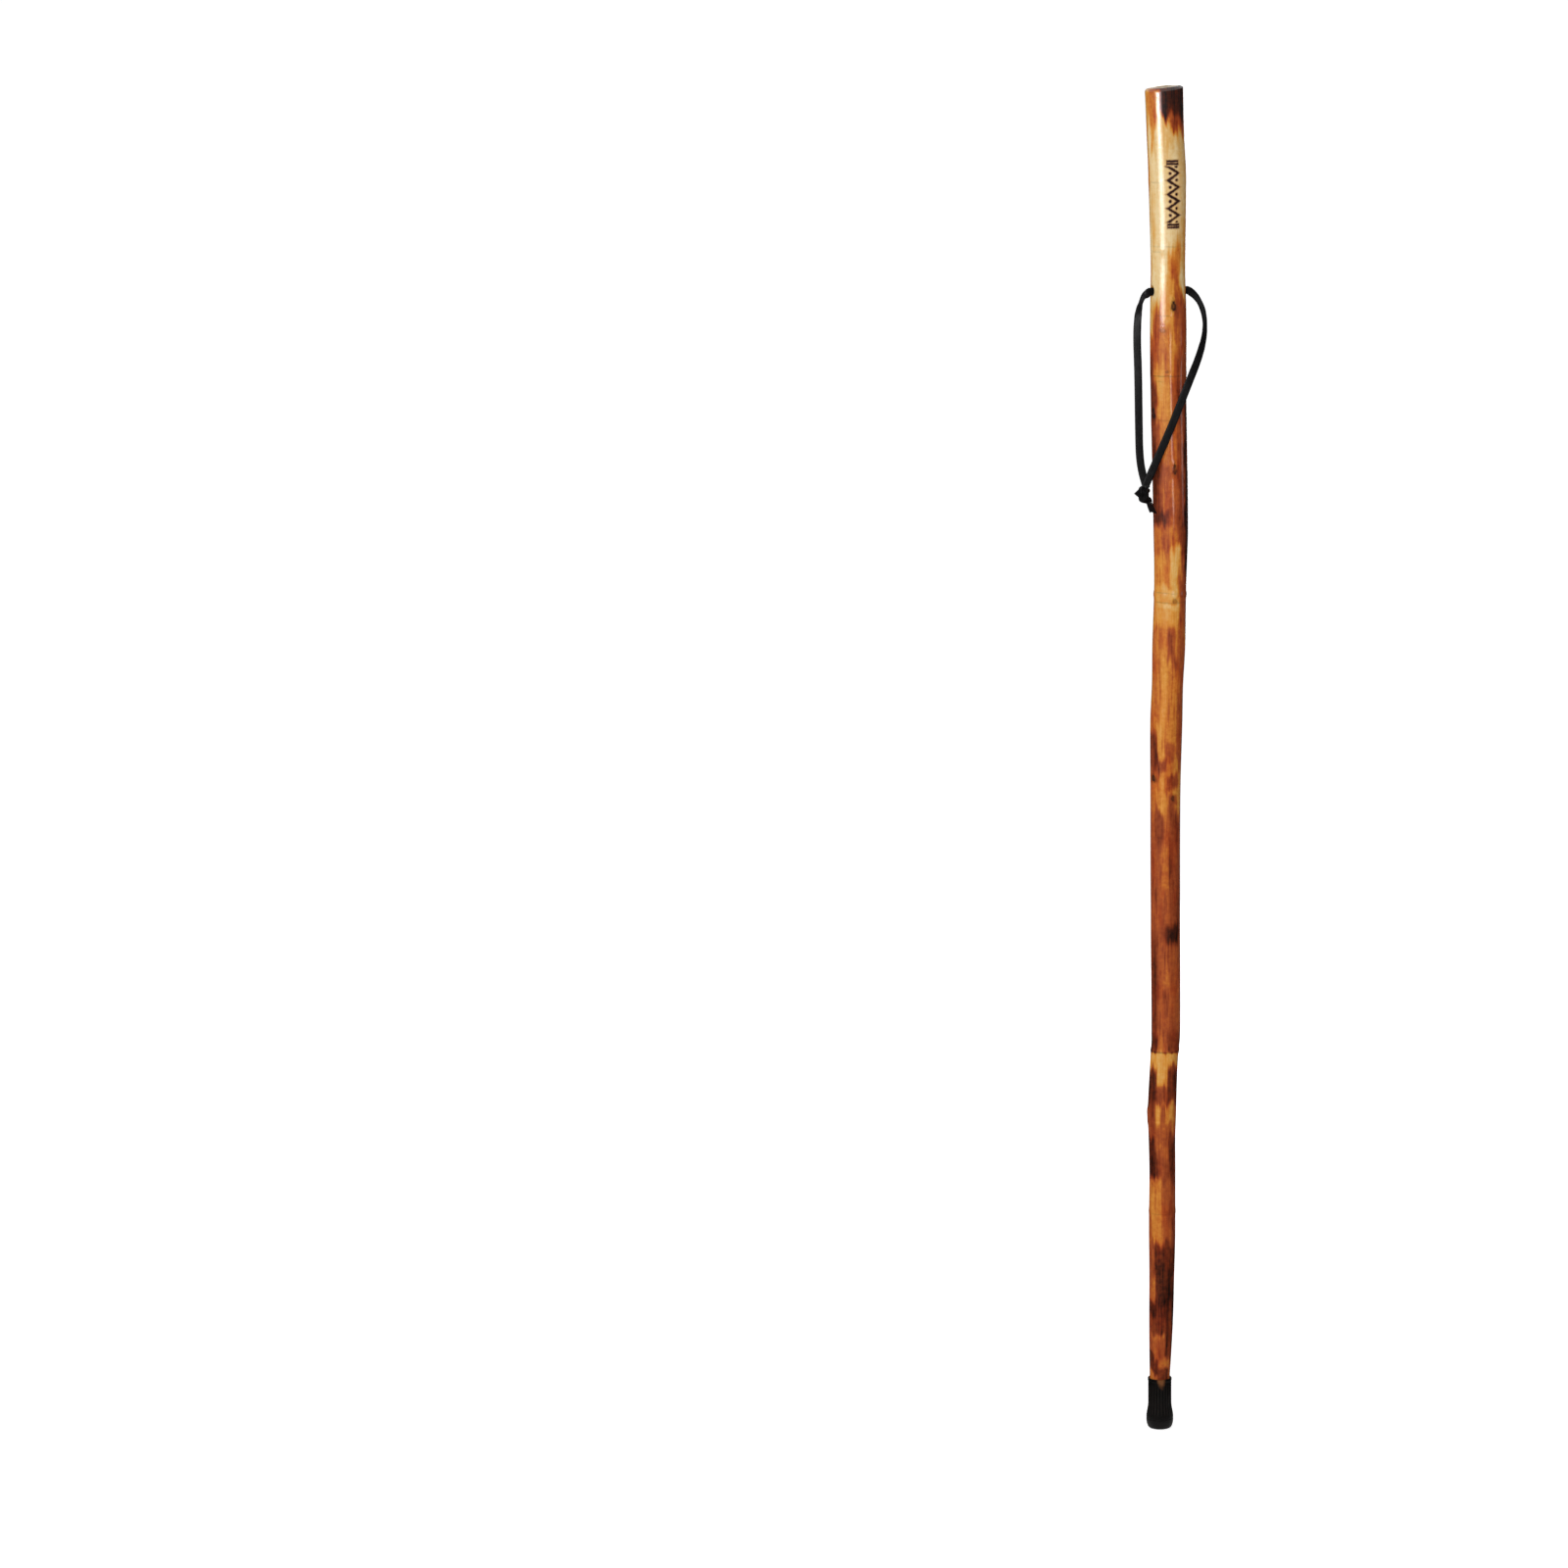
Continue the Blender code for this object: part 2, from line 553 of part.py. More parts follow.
def make_lace(pivot):
    """The lace through the bore, its two legs, the knot and the two tails."""
    upright = Vector((0, 0, 1))
    inner = [(mouth(side, LACE_PROUD), upright) for side in (-1, 1)]
    pieces = [lace_piece("lace_in_bore", inner)]
    entry, below = knot_place(KNOT_LINE[0]), knot_place(KNOT_LINE[1])
    inward = (below - entry).normalized()
    stack = inward.cross(Vector((1, 0, 0))).normalized() * (LACE_THICKNESS + CLEARANCE) / 2
    for name, side, rows, shift in (
        ("lace_left_leg", -1, LEFT_ROUTE, -stack),
        ("lace_right_leg", 1, RIGHT_ROUTE, stack),
    ):
        starts = (LACE_PROUD + CLEARANCE, LACE_PROUD + CLEARANCE + LACE_STRAIGHT)
        route = [(mouth(side, beyond), upright) for beyond in starts] + route_of(rows)
        route.append((entry - inward * KNOT_GAP + shift, route[-1][1]))
        pieces.append(lace_piece(name, route, (BORE_AXIS * side, inward)))
    pieces.append(make_knot())
    for name, root, rows, cut in (
        ("lace_short_tail", SHORT_TAIL_ROOT, SHORT_TAIL_ROUTE, SHORT_TAIL_CUT),
        ("lace_long_tail", LONG_TAIL_ROOT, LONG_TAIL_ROUTE, LONG_TAIL_CUT),
    ):
        leave, outward, facing = root_end(root)
        route = [(leave + outward * KNOT_GAP, facing)] + route_of(rows)
        pieces.append(lace_piece(name, route, (outward, None), cut))
    for piece in pieces:
        piece.parent = pivot
    return pieces


def main():
    for ob in list(bpy.data.objects):
        bpy.data.objects.remove(ob, do_unlink=True)
    wood = finish("varnished_sapling", (0.50, 0.22, 0.06), 0.22)
    rubber = finish("moulded_rubber", (0.016, 0.015, 0.015), 0.62)
    leather = finish("black_leather", (0.018, 0.016, 0.017), 0.45)
    steel = finish("zinc_plated_steel", (0.62, 0.62, 0.60), 0.34, 1.0)
    make_shaft().data.materials.append(wood)
    foot = stem_centre(TIP_RIM)
    tip, washer = make_tip(guide("tip_seat", foot))
    tip.data.materials.append(rubber)
    washer.data.materials.append(steel)
    for piece in make_lace(guide("strap_pivot", (0, 0, 0))):
        piece.data.materials.append(leather)


main()
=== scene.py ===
"""Walking staff in a plain studio: a flame-scorched, varnished sapling with a leather wrist lace.

Metres, +Z up. The origin is the centre of the cross bore that the lace runs through, -Y faces the
viewer and +X is the viewer's right.
"""

import logging
import math
from collections.abc import Iterable, Sequence
from dataclasses import dataclass, field
from enum import Enum

import bmesh
import bpy
import numpy as np
from mathutils import Matrix, Vector, noise


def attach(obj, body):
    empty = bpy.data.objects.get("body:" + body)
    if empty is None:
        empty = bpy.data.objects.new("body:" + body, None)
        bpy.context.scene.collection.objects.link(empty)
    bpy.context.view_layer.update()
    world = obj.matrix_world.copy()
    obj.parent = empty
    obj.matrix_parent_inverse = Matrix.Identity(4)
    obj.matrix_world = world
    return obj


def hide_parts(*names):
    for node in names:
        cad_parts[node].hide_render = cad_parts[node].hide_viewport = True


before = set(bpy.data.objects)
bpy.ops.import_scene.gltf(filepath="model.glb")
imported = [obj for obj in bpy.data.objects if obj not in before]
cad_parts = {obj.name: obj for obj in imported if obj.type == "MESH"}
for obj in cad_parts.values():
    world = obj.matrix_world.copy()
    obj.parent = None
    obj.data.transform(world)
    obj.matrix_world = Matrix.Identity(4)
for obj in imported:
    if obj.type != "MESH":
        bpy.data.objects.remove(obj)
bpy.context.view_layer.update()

LOG = logging.getLogger("walking_staff")
MM = 0.001
Tree = bpy.types.NodeTree
Socket = bpy.types.NodeSocket


def linear(code: str) -> tuple[float, float, float, float]:
    """Turns an sRGB hex colour into linear light.

    Args:
        code: Six hex digits after a hash.

    Returns:
        Red, green, blue and an alpha of 1.
    """
    parts = (int(code[i : i + 2], 16) / 255 for i in (1, 3, 5))
    rgb = (p / 12.92 if p <= 0.04045 else ((p + 0.055) / 1.055) ** 2.4 for p in parts)
    return (*rgb, 1.0)


def plug(node: bpy.types.Node, inputs: dict) -> None:
    """Links the inputs that are given as sockets and sets the others.

    Args:
        node: The node.
        inputs: Sockets or values by the name or number of the input.
    """
    for name, value in inputs.items():
        if isinstance(value, Socket):
            node.id_data.links.new(value, node.inputs[name])
        else:
            node.inputs[name].default_value = value


def add(tree: Tree, kind: str, inputs: dict | None = None, **settings: object) -> Sequence[Socket]:
    """Adds a node with its inputs and its settings.

    Args:
        tree: The node tree it goes into.
        kind: The node's type, such as Math.
        inputs: Sockets or values by the name or number of the input.
        settings: The node's own settings.

    Returns:
        Its outputs, by number or by name.
    """
    node = tree.nodes.new("ShaderNode" + kind)
    for name, value in settings.items():
        setattr(node, name, value)
    plug(node, inputs or {})
    return node.outputs


def ramp(colour: Socket, stops: Sequence[tuple[float, str]]) -> Socket:
    """Gives a colour ramp its stops.

    Args:
        colour: The ramp's colour output.
        stops: Places from 0 to 1, each with an sRGB hex colour.

    Returns:
        The same output.
    """
    steps = colour.node.color_ramp.elements
    while len(steps) < len(stops):
        steps.new(0.5)
    for step, (place, code) in zip(steps, stops):
        step.position = place
        step.color = linear(code)
    return colour


def start_material(name: str) -> tuple[bpy.types.Material, Tree, bpy.types.Node]:
    """Makes a material with its Principled shader.

    Args:
        name: The material's name.

    Returns:
        The material, its node tree and the shader node.
    """
    made = bpy.data.materials.new(name)
    made.use_nodes = True
    return made, made.node_tree, made.node_tree.nodes["Principled BSDF"]


def smooth_table(table: Sequence[Sequence[float]], at: np.ndarray) -> np.ndarray:
    """Smooth values of a table's columns at places in its first column.

    Args:
        table: Rows of a place and its values.
        at: The places asked for.

    Returns:
        One row of values for each place.
    """
    rows = np.array(table, float)
    last = len(rows) - 1
    at = np.clip(at, rows[0, 0], rows[-1, 0])
    i = np.clip(np.searchsorted(rows[:, 0], at, side="right") - 1, 0, last - 1)
    before, low, high, after = (rows[np.clip(k, 0, last)] for k in (i - 1, i, i + 1, i + 2))
    span = (high - low)[:, :1]
    t = (at[:, None] - low[:, :1]) / span
    slope_low = (high - before) / (high - before)[:, :1] * span
    slope_high = (after - low) / (after - low)[:, :1] * span
    values = (2 * t**3 - 3 * t**2 + 1) * low + (t**3 - 2 * t**2 + t) * slope_low
    values += (3 * t**2 - 2 * t**3) * high + (t**3 - t**2) * slope_high
    return values[:, 1:]


def grain_noise(points: np.ndarray, across: float, along: float, seed: float) -> np.ndarray:
    """Soft noise that is drawn out along the staff.

    Args:
        points: Places in metres, one per row.
        across: Size of its spots round the staff, in metres.
        along: Their size up the staff, in metres.
        seed: Moves the pattern.

    Returns:
        Values from about -1 to 1.
    """
    scaled = points / np.array([across, across, along]) + seed
    return np.array([noise.noise(Vector(p)) for p in scaled])


def step_up(low: float, high: float, x: np.ndarray) -> np.ndarray:
    """A smooth step from 0 at low to 1 at high."""
    t = np.clip((x - low) / (high - low), 0, 1)
    return t * t * (3 - 2 * t)


def new_object(name: str, mesh: bpy.types.Mesh) -> bpy.types.Object:
    """Puts a mesh into the scene under a name."""
    ob = bpy.data.objects.new(name, mesh)
    bpy.context.collection.objects.link(ob)
    return ob


def skin(name: str, rings: np.ndarray, first: Sequence[float], last: Sequence[float]) -> bpy.types.Object:
    """A closed mesh through equal rings of points.

    Args:
        name: The object's name.
        rings: Points by ring, place in the ring, and coordinate.
        first: The point that closes the first ring.
        last: The point that closes the last ring.

    Returns:
        The object, shaded smooth.
    """
    count, sides = rings.shape[:2]
    points = rings.reshape(-1, 3).tolist()
    faces = []
    for i in range(count - 1):
        for k in range(sides):
            n = (k + 1) % sides
            faces.append((i * sides + k, i * sides + n, (i + 1) * sides + n, (i + 1) * sides + k))
    for middle, start in ((first, 0), (last, (count - 1) * sides)):
        points.append(list(middle))
        for k in range(sides):
            faces.append((start + k, start + (k + 1) % sides, len(points) - 1))
    mesh = bpy.data.meshes.new(name)
    mesh.from_pydata(points, [], faces)
    bm = bmesh.new()
    bm.from_mesh(mesh)
    bmesh.ops.recalc_face_normals(bm, faces=bm.faces)
    bm.to_mesh(mesh)
    bm.free()
    mesh.shade_smooth()
    return new_object(name, mesh)


def catmull(points: Sequence[Vector], step: float) -> list[Vector]:
    """Places at equal steps on one smooth curve.

    Args:
        points: The points that the curve goes through.
        step: The distance asked for between places, in metres.

    Returns:
        The places, the first and last points among them.
    """
    dense = []
    for i in range(len(points) - 1):
        a, b, c, d = (points[min(max(k, 0), len(points) - 1)] for k in (i - 1, i, i + 1, i + 2))
        for n in range(40):
            t = n / 40
            bend = (2 * a - 5 * b + 4 * c - d) * t**2 + (3 * b - a - 3 * c + d) * t**3
            dense.append(0.5 * (2 * b + (c - a) * t + bend))
    dense.append(points[-1].copy())
    reach = [0.0]
    for p, q in zip(dense, dense[1:]):
        reach.append(reach[-1] + (q - p).length)
    count = max(2, round(reach[-1] / step))
    placed, i = [], 0
    for n in range(count + 1):
        goal = reach[-1] * n / count
        while i < len(reach) - 2 and reach[i + 1] < goal:
            i += 1
        placed.append(dense[i].lerp(dense[i + 1], (goal - reach[i]) / (reach[i + 1] - reach[i])))
    return placed


def tangents(line: Sequence[Vector]) -> list[Vector]:
    """Direction of a line of places at each of them."""
    last = len(line) - 1
    return [(line[min(i + 1, last)] - line[max(i - 1, 0)]).normalized() for i in range(last + 1)]


# Finishes


@dataclass(frozen=True)
class ScorchedSapling:
    """Peeled hardwood, darkened with a flame in patches and dipped in clear spar varnish.

    The flame takes the wood from cream through amber and russet to char, in tongues that follow the
    grain. The varnish lies over it as a second, sharp gloss with slow waves where it ran.
    """

    fibre_width_mm: float = 0.7
    fibre_length_mm: float = 30.0
    lick_width_mm: float = 2.6  # a tongue of flame
    lick_length_mm: float = 30.0
    blush_width_mm: float = 8.0
    blush_length_mm: float = 34.0
    mottle_mm: float = 4.0
    varnish_wave_mm: float = 9.0
    varnish_run_mm: float = 22.5  # the same waves, measured down the staff
    orange_peel_mm: float = 2.6
    ripple_mm: float = 1.3  # the draw knife's chatter under the varnish, which beads a highlight
    year_ring_mm: float = 1.3
    varnish_ior: float = 1.5
    stroke_mm: float = 1.9  # the burning tool's line
    zigzag_mm: float = 12.8  # one wave of the border
    zigzag_reach_mm: float = 5.0
    border_mm: float = 51.2
    tones: tuple[tuple[float, str], ...] = (
        (0.00, "#F6D9A2"), (0.08, "#F0CB8C"), (0.20, "#E8B362"), (0.32, "#E49A3C"), (0.44, "#D27A2A"),
        (0.54, "#BC5C24"), (0.64, "#A44A20"), (0.76, "#823412"), (0.88, "#4E1D09"), (1.00, "#180A07"),
    )  # fmt: skip

    def make(self) -> bpy.types.Material:
        """Builds the material.

        Returns:
            The varnished wood.
        """
        made, tree, shader = start_material("flame_scorched_sapling_spar_varnished")
        spot = add(tree, "TexCoord")["Object"]
        burn_and_shade = add(tree, "Attribute", attribute_name="burn_and_shade")["Vector"]
        heat, mark, cut = add(tree, "SeparateXYZ", {0: burn_and_shade})
        fibre = self.grain(tree, spot, self.fibre_width_mm, self.fibre_length_mm, 3.0)
        clouds = {"Vector": spot, "Scale": 1 / (self.mottle_mm * MM), "Detail": 4.0, "Roughness": 0.6}
        mottle = add(tree, "TexNoise", clouds)[0]
        toasted = add(tree, "MapRange", {"Value": heat, "From Min": 0.1, "From Max": 0.5})[0]
        lick = self.grain(tree, spot, self.lick_width_mm, self.lick_length_mm, 4.0, (3.1, 1.7, 0.4))
        lick = self.patches(tree, lick, toasted, (0.50, 0.72), 1.0)
        blush = self.grain(tree, spot, self.blush_width_mm, self.blush_length_mm, 3.0, (0.6, 4.2, 1.9))
        blush = self.patches(tree, blush, toasted, (0.46, 0.66), 0.75)
        terms = ((heat, 1.0), (fibre, 0.20), (mottle, 0.28), (lick, 0.13))
        tone = add(tree, "ValToRGB", {0: self.sum_of(tree, terms, -0.26)})[0]
        colour = ramp(tone, self.tones)
        tint = {0: 1.0, 6: colour, 7: linear("#F4CCAE")}
        ruddy = add(tree, "Mix", tint, data_type="RGBA", blend_type="MULTIPLY")[2]
        groove, halo = self.border(tree, mottle, fibre)
        layers = (
            (blush, ruddy),
            (mark, linear("#180A06")),
            (cut, self.end_grain(tree, spot)),
            (halo, linear("#A8642A")),
            (groove, linear("#2A0F0A")),
        )
        for share, over in layers:
            colour = add(tree, "Mix", {0: share, 6: colour, 7: over}, data_type="RGBA")[2]
        self.relief(tree, shader, spot, fibre, groove)
        inputs = {
            "Base Color": colour,
            "Roughness": add(tree, "MapRange", {"Value": fibre, "To Min": 0.50, "To Max": 0.62})[0],
            "Coat Weight": add(tree, "MapRange", {"Value": cut, "To Min": 1.0, "To Max": 0.25})[0],
            "IOR": 1.45,
            "Specular IOR Level": 0.3,
            "Coat Roughness": 0.07,
            "Coat IOR": self.varnish_ior,
        }
        plug(shader, inputs)
        return made

    def grain(
        self, tree: Tree, spot: Socket, across: float, along: float, detail: float, shift: tuple = (0, 0, 0)
    ) -> Socket:
        """Noise that is drawn out along the grain.

        Args:
            tree: The node tree.
            spot: The place on the staff.
            across: Size of its spots round the staff, in millimetres.
            along: Their size up the staff.
            detail: How many finer layers it has.
            shift: Moves the pattern.

        Returns:
            The noise.
        """
        scale = (1 / (across * MM), 1 / (across * MM), 1 / (along * MM))
        drawn = add(tree, "Mapping", {"Vector": spot, "Location": shift, "Scale": scale})[0]
        return add(tree, "TexNoise", {"Vector": drawn, "Scale": 1.0, "Detail": detail})[0]

    def patches(
        self, tree: Tree, cloud: Socket, toasted: Socket, between: tuple[float, float], most: float
    ) -> Socket:
        """Soft patches of a cloud, only where the wood is toasted.

        Args:
            tree: The node tree.
            cloud: The noise.
            toasted: How far the wood is toasted, from 0 to 1.
            between: The levels of the noise at which a patch starts and is full.
            most: How much a full patch shows.

        Returns:
            How much of the patches shows.
        """
        ends = {"Value": cloud, "From Min": between[0], "From Max": between[1], "To Max": most}
        share = add(tree, "MapRange", ends, interpolation_type="SMOOTHSTEP")[0]
        return add(tree, "Math", {0: share, 1: toasted}, operation="MULTIPLY")[0]

    def sum_of(self, tree: Tree, terms: Iterable[tuple[Socket, float]], start: float) -> Socket:
        """Adds weighted values together.

        Args:
            tree: The node tree.
            terms: Sockets and their weights.
            start: The number that the sum starts from.

        Returns:
            The sum.
        """
        total = start
        for socket, weight in terms:
            total = add(tree, "Math", {0: socket, 1: weight, 2: total}, operation="MULTIPLY_ADD")[0]
        return total

    def end_grain(self, tree: Tree, spot: Socket) -> Socket:
        """Pale sawn end grain with year rings.

        Args:
            tree: The node tree.
            spot: The place on the staff.

        Returns:
            Its colour.
        """
        flat = add(tree, "VectorMath", {0: spot, 1: (1, 1, 0)}, operation="MULTIPLY")[0]
        off = add(tree, "VectorMath", {0: flat, 1: (-0.0025, 0.002, 0)}, operation="SUBTRACT")[0]
        waves = {"Vector": off, "Distortion": 1.2, "Detail": 2.0, "Detail Scale": 1.0}
        waves["Scale"] = 1 / (self.year_ring_mm * MM) / 20 * math.pi
        rings = add(tree, "TexWave", waves, wave_type="RINGS", rings_direction="Z")["Fac"]
        tones = ((0.0, "#C08A44"), (0.5, "#DDB06A"), (1.0, "#EBCB90"))
        return ramp(add(tree, "ValToRGB", {0: rings})[0], tones)

    def border(self, tree: Tree, mottle: Socket, fibre: Socket) -> tuple[Socket, Socket]:
        """The burned border: a zigzag with a dot in each bay and two bars at either end.

        Args:
            tree: The node tree.
            mottle: The wood's clouds, which make the line's edge uneven.
            fibre: Its fibres, which fray it.

        Returns:
            The burned line and the toasted halo beside it, each from 0 to 1.
        """
        ruler = add(tree, "Attribute", attribute_name="border")["Vector"]
        across, down, inside = add(tree, "SeparateXYZ", {0: ruler})
        half = self.zigzag_mm / 2

        def maths(operation: str, *terms: Socket | float) -> Socket:
            """One sum on sockets and numbers."""
            return add(tree, "Math", dict(enumerate(terms)), operation=operation)[0]

        saw = maths("PINGPONG", down, half)
        wave = maths("MULTIPLY_ADD", saw, 2 * self.zigzag_reach_mm / half, -self.zigzag_reach_mm)
        slope = math.cos(math.atan(2 * self.zigzag_reach_mm / half))
        line = maths("MULTIPLY", maths("ABSOLUTE", maths("SUBTRACT", across, wave)), slope)
        nearest = maths("SUBTRACT", line, self.stroke_mm / 2)
        for side, place in ((1.0, 0.0), (-1.0, half)):
            x = maths("SUBTRACT", across, side * self.zigzag_reach_mm * 0.62)
            y = maths("SUBTRACT", saw, place)
            reach = maths("SQRT", maths("ADD", maths("MULTIPLY", x, x), maths("MULTIPLY", y, y)))
            nearest = maths("MINIMUM", nearest, maths("SUBTRACT", reach, self.stroke_mm * 0.62))
        middle = maths("ABSOLUTE", maths("SUBTRACT", down, self.border_mm / 2))
        outside = maths("SUBTRACT", middle, self.border_mm / 2)
        nearest = maths("MAXIMUM", nearest, outside)
        for beyond in (2.2, 4.6):
            bar = maths("ABSOLUTE", maths("SUBTRACT", middle, self.border_mm / 2 + beyond))
            bar = maths("SUBTRACT", bar, self.stroke_mm * 0.42)
            ends = maths("SUBTRACT", maths("ABSOLUTE", across), self.zigzag_reach_mm + 0.6)
            nearest = maths("MINIMUM", nearest, maths("MAXIMUM", bar, ends))
        rough = maths("MULTIPLY_ADD", fibre, 1.2, maths("MULTIPLY_ADD", mottle, 2.0, -1.6))
        nearest = maths("ADD", nearest, rough)
        made = []
        for reach in (0.35, 1.3):
            ends = {"Value": nearest, "From Min": -0.25, "From Max": reach, "To Min": 1.0, "To Max": 0.0}
            made.append(maths("MULTIPLY", add(tree, "MapRange", ends)[0], inside))
        return made[0], made[1]

    def relief(
        self, tree: Tree, shader: bpy.types.Node, spot: Socket, fibre: Socket, groove: Socket
    ) -> None:
        """Gives the wood its fibres and burned grooves, and the varnish its slow waves.

        Args:
            tree: The node tree.
            shader: The Principled shader.
            spot: The place on the staff.
            fibre: The wood's fibres.
            groove: The burned line.
        """
        wood = ((fibre, 0.00004), (groove, -0.00035))
        wave = self.grain(tree, spot, self.varnish_wave_mm, self.varnish_run_mm, 2.0)
        peel, ripple = (
            add(tree, "TexNoise", {"Vector": spot, "Scale": 1 / (size * MM), "Detail": detail})[0]
            for size, detail in ((self.orange_peel_mm, 1.0), (self.ripple_mm, 0.0))
        )
        coat = ((wave, 0.00016), (peel, 0.00002), (ripple, 0.000012), (groove, -0.00020), (fibre, 0.00001))
        for terms, normal in ((wood, "Normal"), (coat, "Coat Normal")):
            height = self.sum_of(tree, terms, 0.0)
            plug(shader, {normal: add(tree, "Bump", {"Height": height, "Strength": 1.0, "Distance": 1.0})[0]})


@dataclass(frozen=True)
class DyedLeather:
    """Chrome-tanned cowhide, drum-dyed black and cut into lace.

    The flat faces have a fine pebbled grain with a soft sheen. The cut edges are fibrous and duller.
    """

    pebble_mm: float = 0.55  # real grain is about 0.3 mm, drawn coarser so that it shows
    cloud_mm: float = 6.0
    tones: tuple[tuple[float, str], ...] = ((0.35, "#0A090A"), (0.62, "#0E0D0E"), (0.85, "#161517"))

    def make(self) -> bpy.types.Material:
        """Builds the material.

        Returns:
            The leather.
        """
        made, tree, shader = start_material("black_cowhide_lace_drum_dyed")
        spot = add(tree, "TexCoord")["Object"]
        edge = add(tree, "Attribute", attribute_name="edge")["Fac"]
        pebbles = {"Vector": spot, "Scale": 1 / (self.pebble_mm * MM)}
        pebble = add(tree, "TexVoronoi", pebbles, feature="SMOOTH_F1")["Distance"]
        cloud = add(tree, "TexNoise", {"Vector": spot, "Scale": 1 / (self.cloud_mm * MM), "Detail": 4.0})[0]
        wear = add(tree, "Math", {0: pebble, 1: 0.35, 2: cloud}, operation="MULTIPLY_ADD")[0]
        worn = ramp(add(tree, "ValToRGB", {0: wear})[0], self.tones)
        height = add(tree, "Math", {0: pebble, 1: 0.00009}, operation="MULTIPLY")[0]
        layers = {0: edge, 6: worn, 7: linear("#0E0C0D")}
        inputs = {
            "Base Color": add(tree, "Mix", layers, data_type="RGBA")[2],
            "Roughness": add(tree, "MapRange", {"Value": edge, "To Min": 0.42, "To Max": 0.80})[0],
            "Normal": add(tree, "Bump", {"Height": height, "Strength": 1.0, "Distance": 1.0})[0],
            "Specular IOR Level": 0.12,
            "IOR": 1.5,
        }
        plug(shader, inputs)
        return made


@dataclass(frozen=True)
class MouldedRubber:
    """Black natural rubber, pressed in a steel mould.

    It is nearly black, with a dull satin skin and a little dust between its ribs. The staff's
    varnish has run down over the rim in front and dried there in a brown smear.
    """

    rim: tuple[float, float, float]
    ribs: int
    speckle_mm: float = 0.8
    cloud_mm: float = 9.0
    ribs_below_rim: float = 0.0205  # the middle of the ribbed stretch, in metres
    smear_mm: tuple[float, float, float] = (4.4, 12.0, 9.0)
    tones: tuple[tuple[float, str], ...] = ((0.30, "#080706"), (0.60, "#0C0908"), (0.80, "#13100E"))

    def make(self) -> bpy.types.Material:
        """Builds the material.

        Returns:
            The rubber.
        """
        made, tree, shader = start_material("black_natural_rubber_moulded")
        spot = add(tree, "TexCoord")["Object"]
        place = add(tree, "VectorMath", {0: spot, 1: self.rim}, operation="SUBTRACT")[0]
        speckles = {"Vector": spot, "Scale": 1 / (self.speckle_mm * MM), "Detail": 3.0}
        speckle = add(tree, "TexNoise", speckles)[0]
        cloud = add(tree, "TexNoise", {"Vector": spot, "Scale": 1 / (self.cloud_mm * MM), "Detail": 3.0})[0]
        colour = ramp(add(tree, "ValToRGB", {0: cloud})[0], self.tones)
        layers = (
            (self.dust(tree, place), linear("#3A3532")),
            (self.smear(tree, place, cloud), linear("#7E4E2C")),
        )
        for share, over in layers:
            colour = add(tree, "Mix", {0: share, 6: colour, 7: over}, data_type="RGBA")[2]
        height = add(tree, "Math", {0: speckle, 1: 0.00005}, operation="MULTIPLY")[0]
        inputs = {
            "Base Color": colour,
            "Roughness": add(tree, "MapRange", {"Value": speckle, "To Min": 0.50, "To Max": 0.68})[0],
            "Normal": add(tree, "Bump", {"Height": height, "Strength": 1.0, "Distance": 1.0})[0],
            "Specular IOR Level": 0.13,
            "IOR": 1.52,
        }
        plug(shader, inputs)
        return made

    def dust(self, tree: Tree, place: Socket) -> Socket:
        """Grey dust in the grooves between the ribs, from the smooth collar to the flare.

        Args:
            tree: The node tree.
            place: The place, measured from the rim's middle.

        Returns:
            How much of the dust shows.
        """
        x, y, z = add(tree, "SeparateXYZ", {0: place})
        turn = add(tree, "Math", {0: y, 1: x}, operation="ARCTAN2")[0]
        turns = add(tree, "Math", {0: turn, 1: float(self.ribs)}, operation="MULTIPLY")[0]
        wave = add(tree, "Math", {0: turns}, operation="COSINE")[0]
        ends = {"Value": wave, "From Min": -0.1, "From Max": -1.0, "To Max": 0.30}
        groove = add(tree, "MapRange", ends)[0]
        away = add(tree, "Math", {0: z, 1: self.ribs_below_rim}, operation="ADD")[0]
        away = add(tree, "Math", {0: away}, operation="ABSOLUTE")[0]
        ribbed = add(tree, "MapRange", {"Value": away, "From Min": 0.0155, "From Max": 0.0115})[0]
        return add(tree, "Math", {0: groove, 1: ribbed}, operation="MULTIPLY")[0]

    def smear(self, tree: Tree, place: Socket, cloud: Socket) -> Socket:
        """An oval smear on the front, ragged with noise, that thins out away from the rim.

        Args:
            tree: The node tree.
            place: The place, measured from the rim's middle.
            cloud: The noise.

        Returns:
            How much of the smear shows.
        """
        scale = tuple(1 / (size * MM) for size in self.smear_mm)
        oval = add(tree, "VectorMath", {0: place, 1: scale}, operation="MULTIPLY")[0]
        away = add(tree, "VectorMath", {0: oval, 1: (0.25, -0.9, 0.0)}, operation="DISTANCE")["Value"]
        ragged = add(tree, "Math", {0: cloud, 1: 0.9, 2: away}, operation="MULTIPLY_ADD")[0]
        return add(tree, "MapRange", {"Value": ragged, "From Min": 1.5, "From Max": 0.85, "To Max": 0.9})[0]


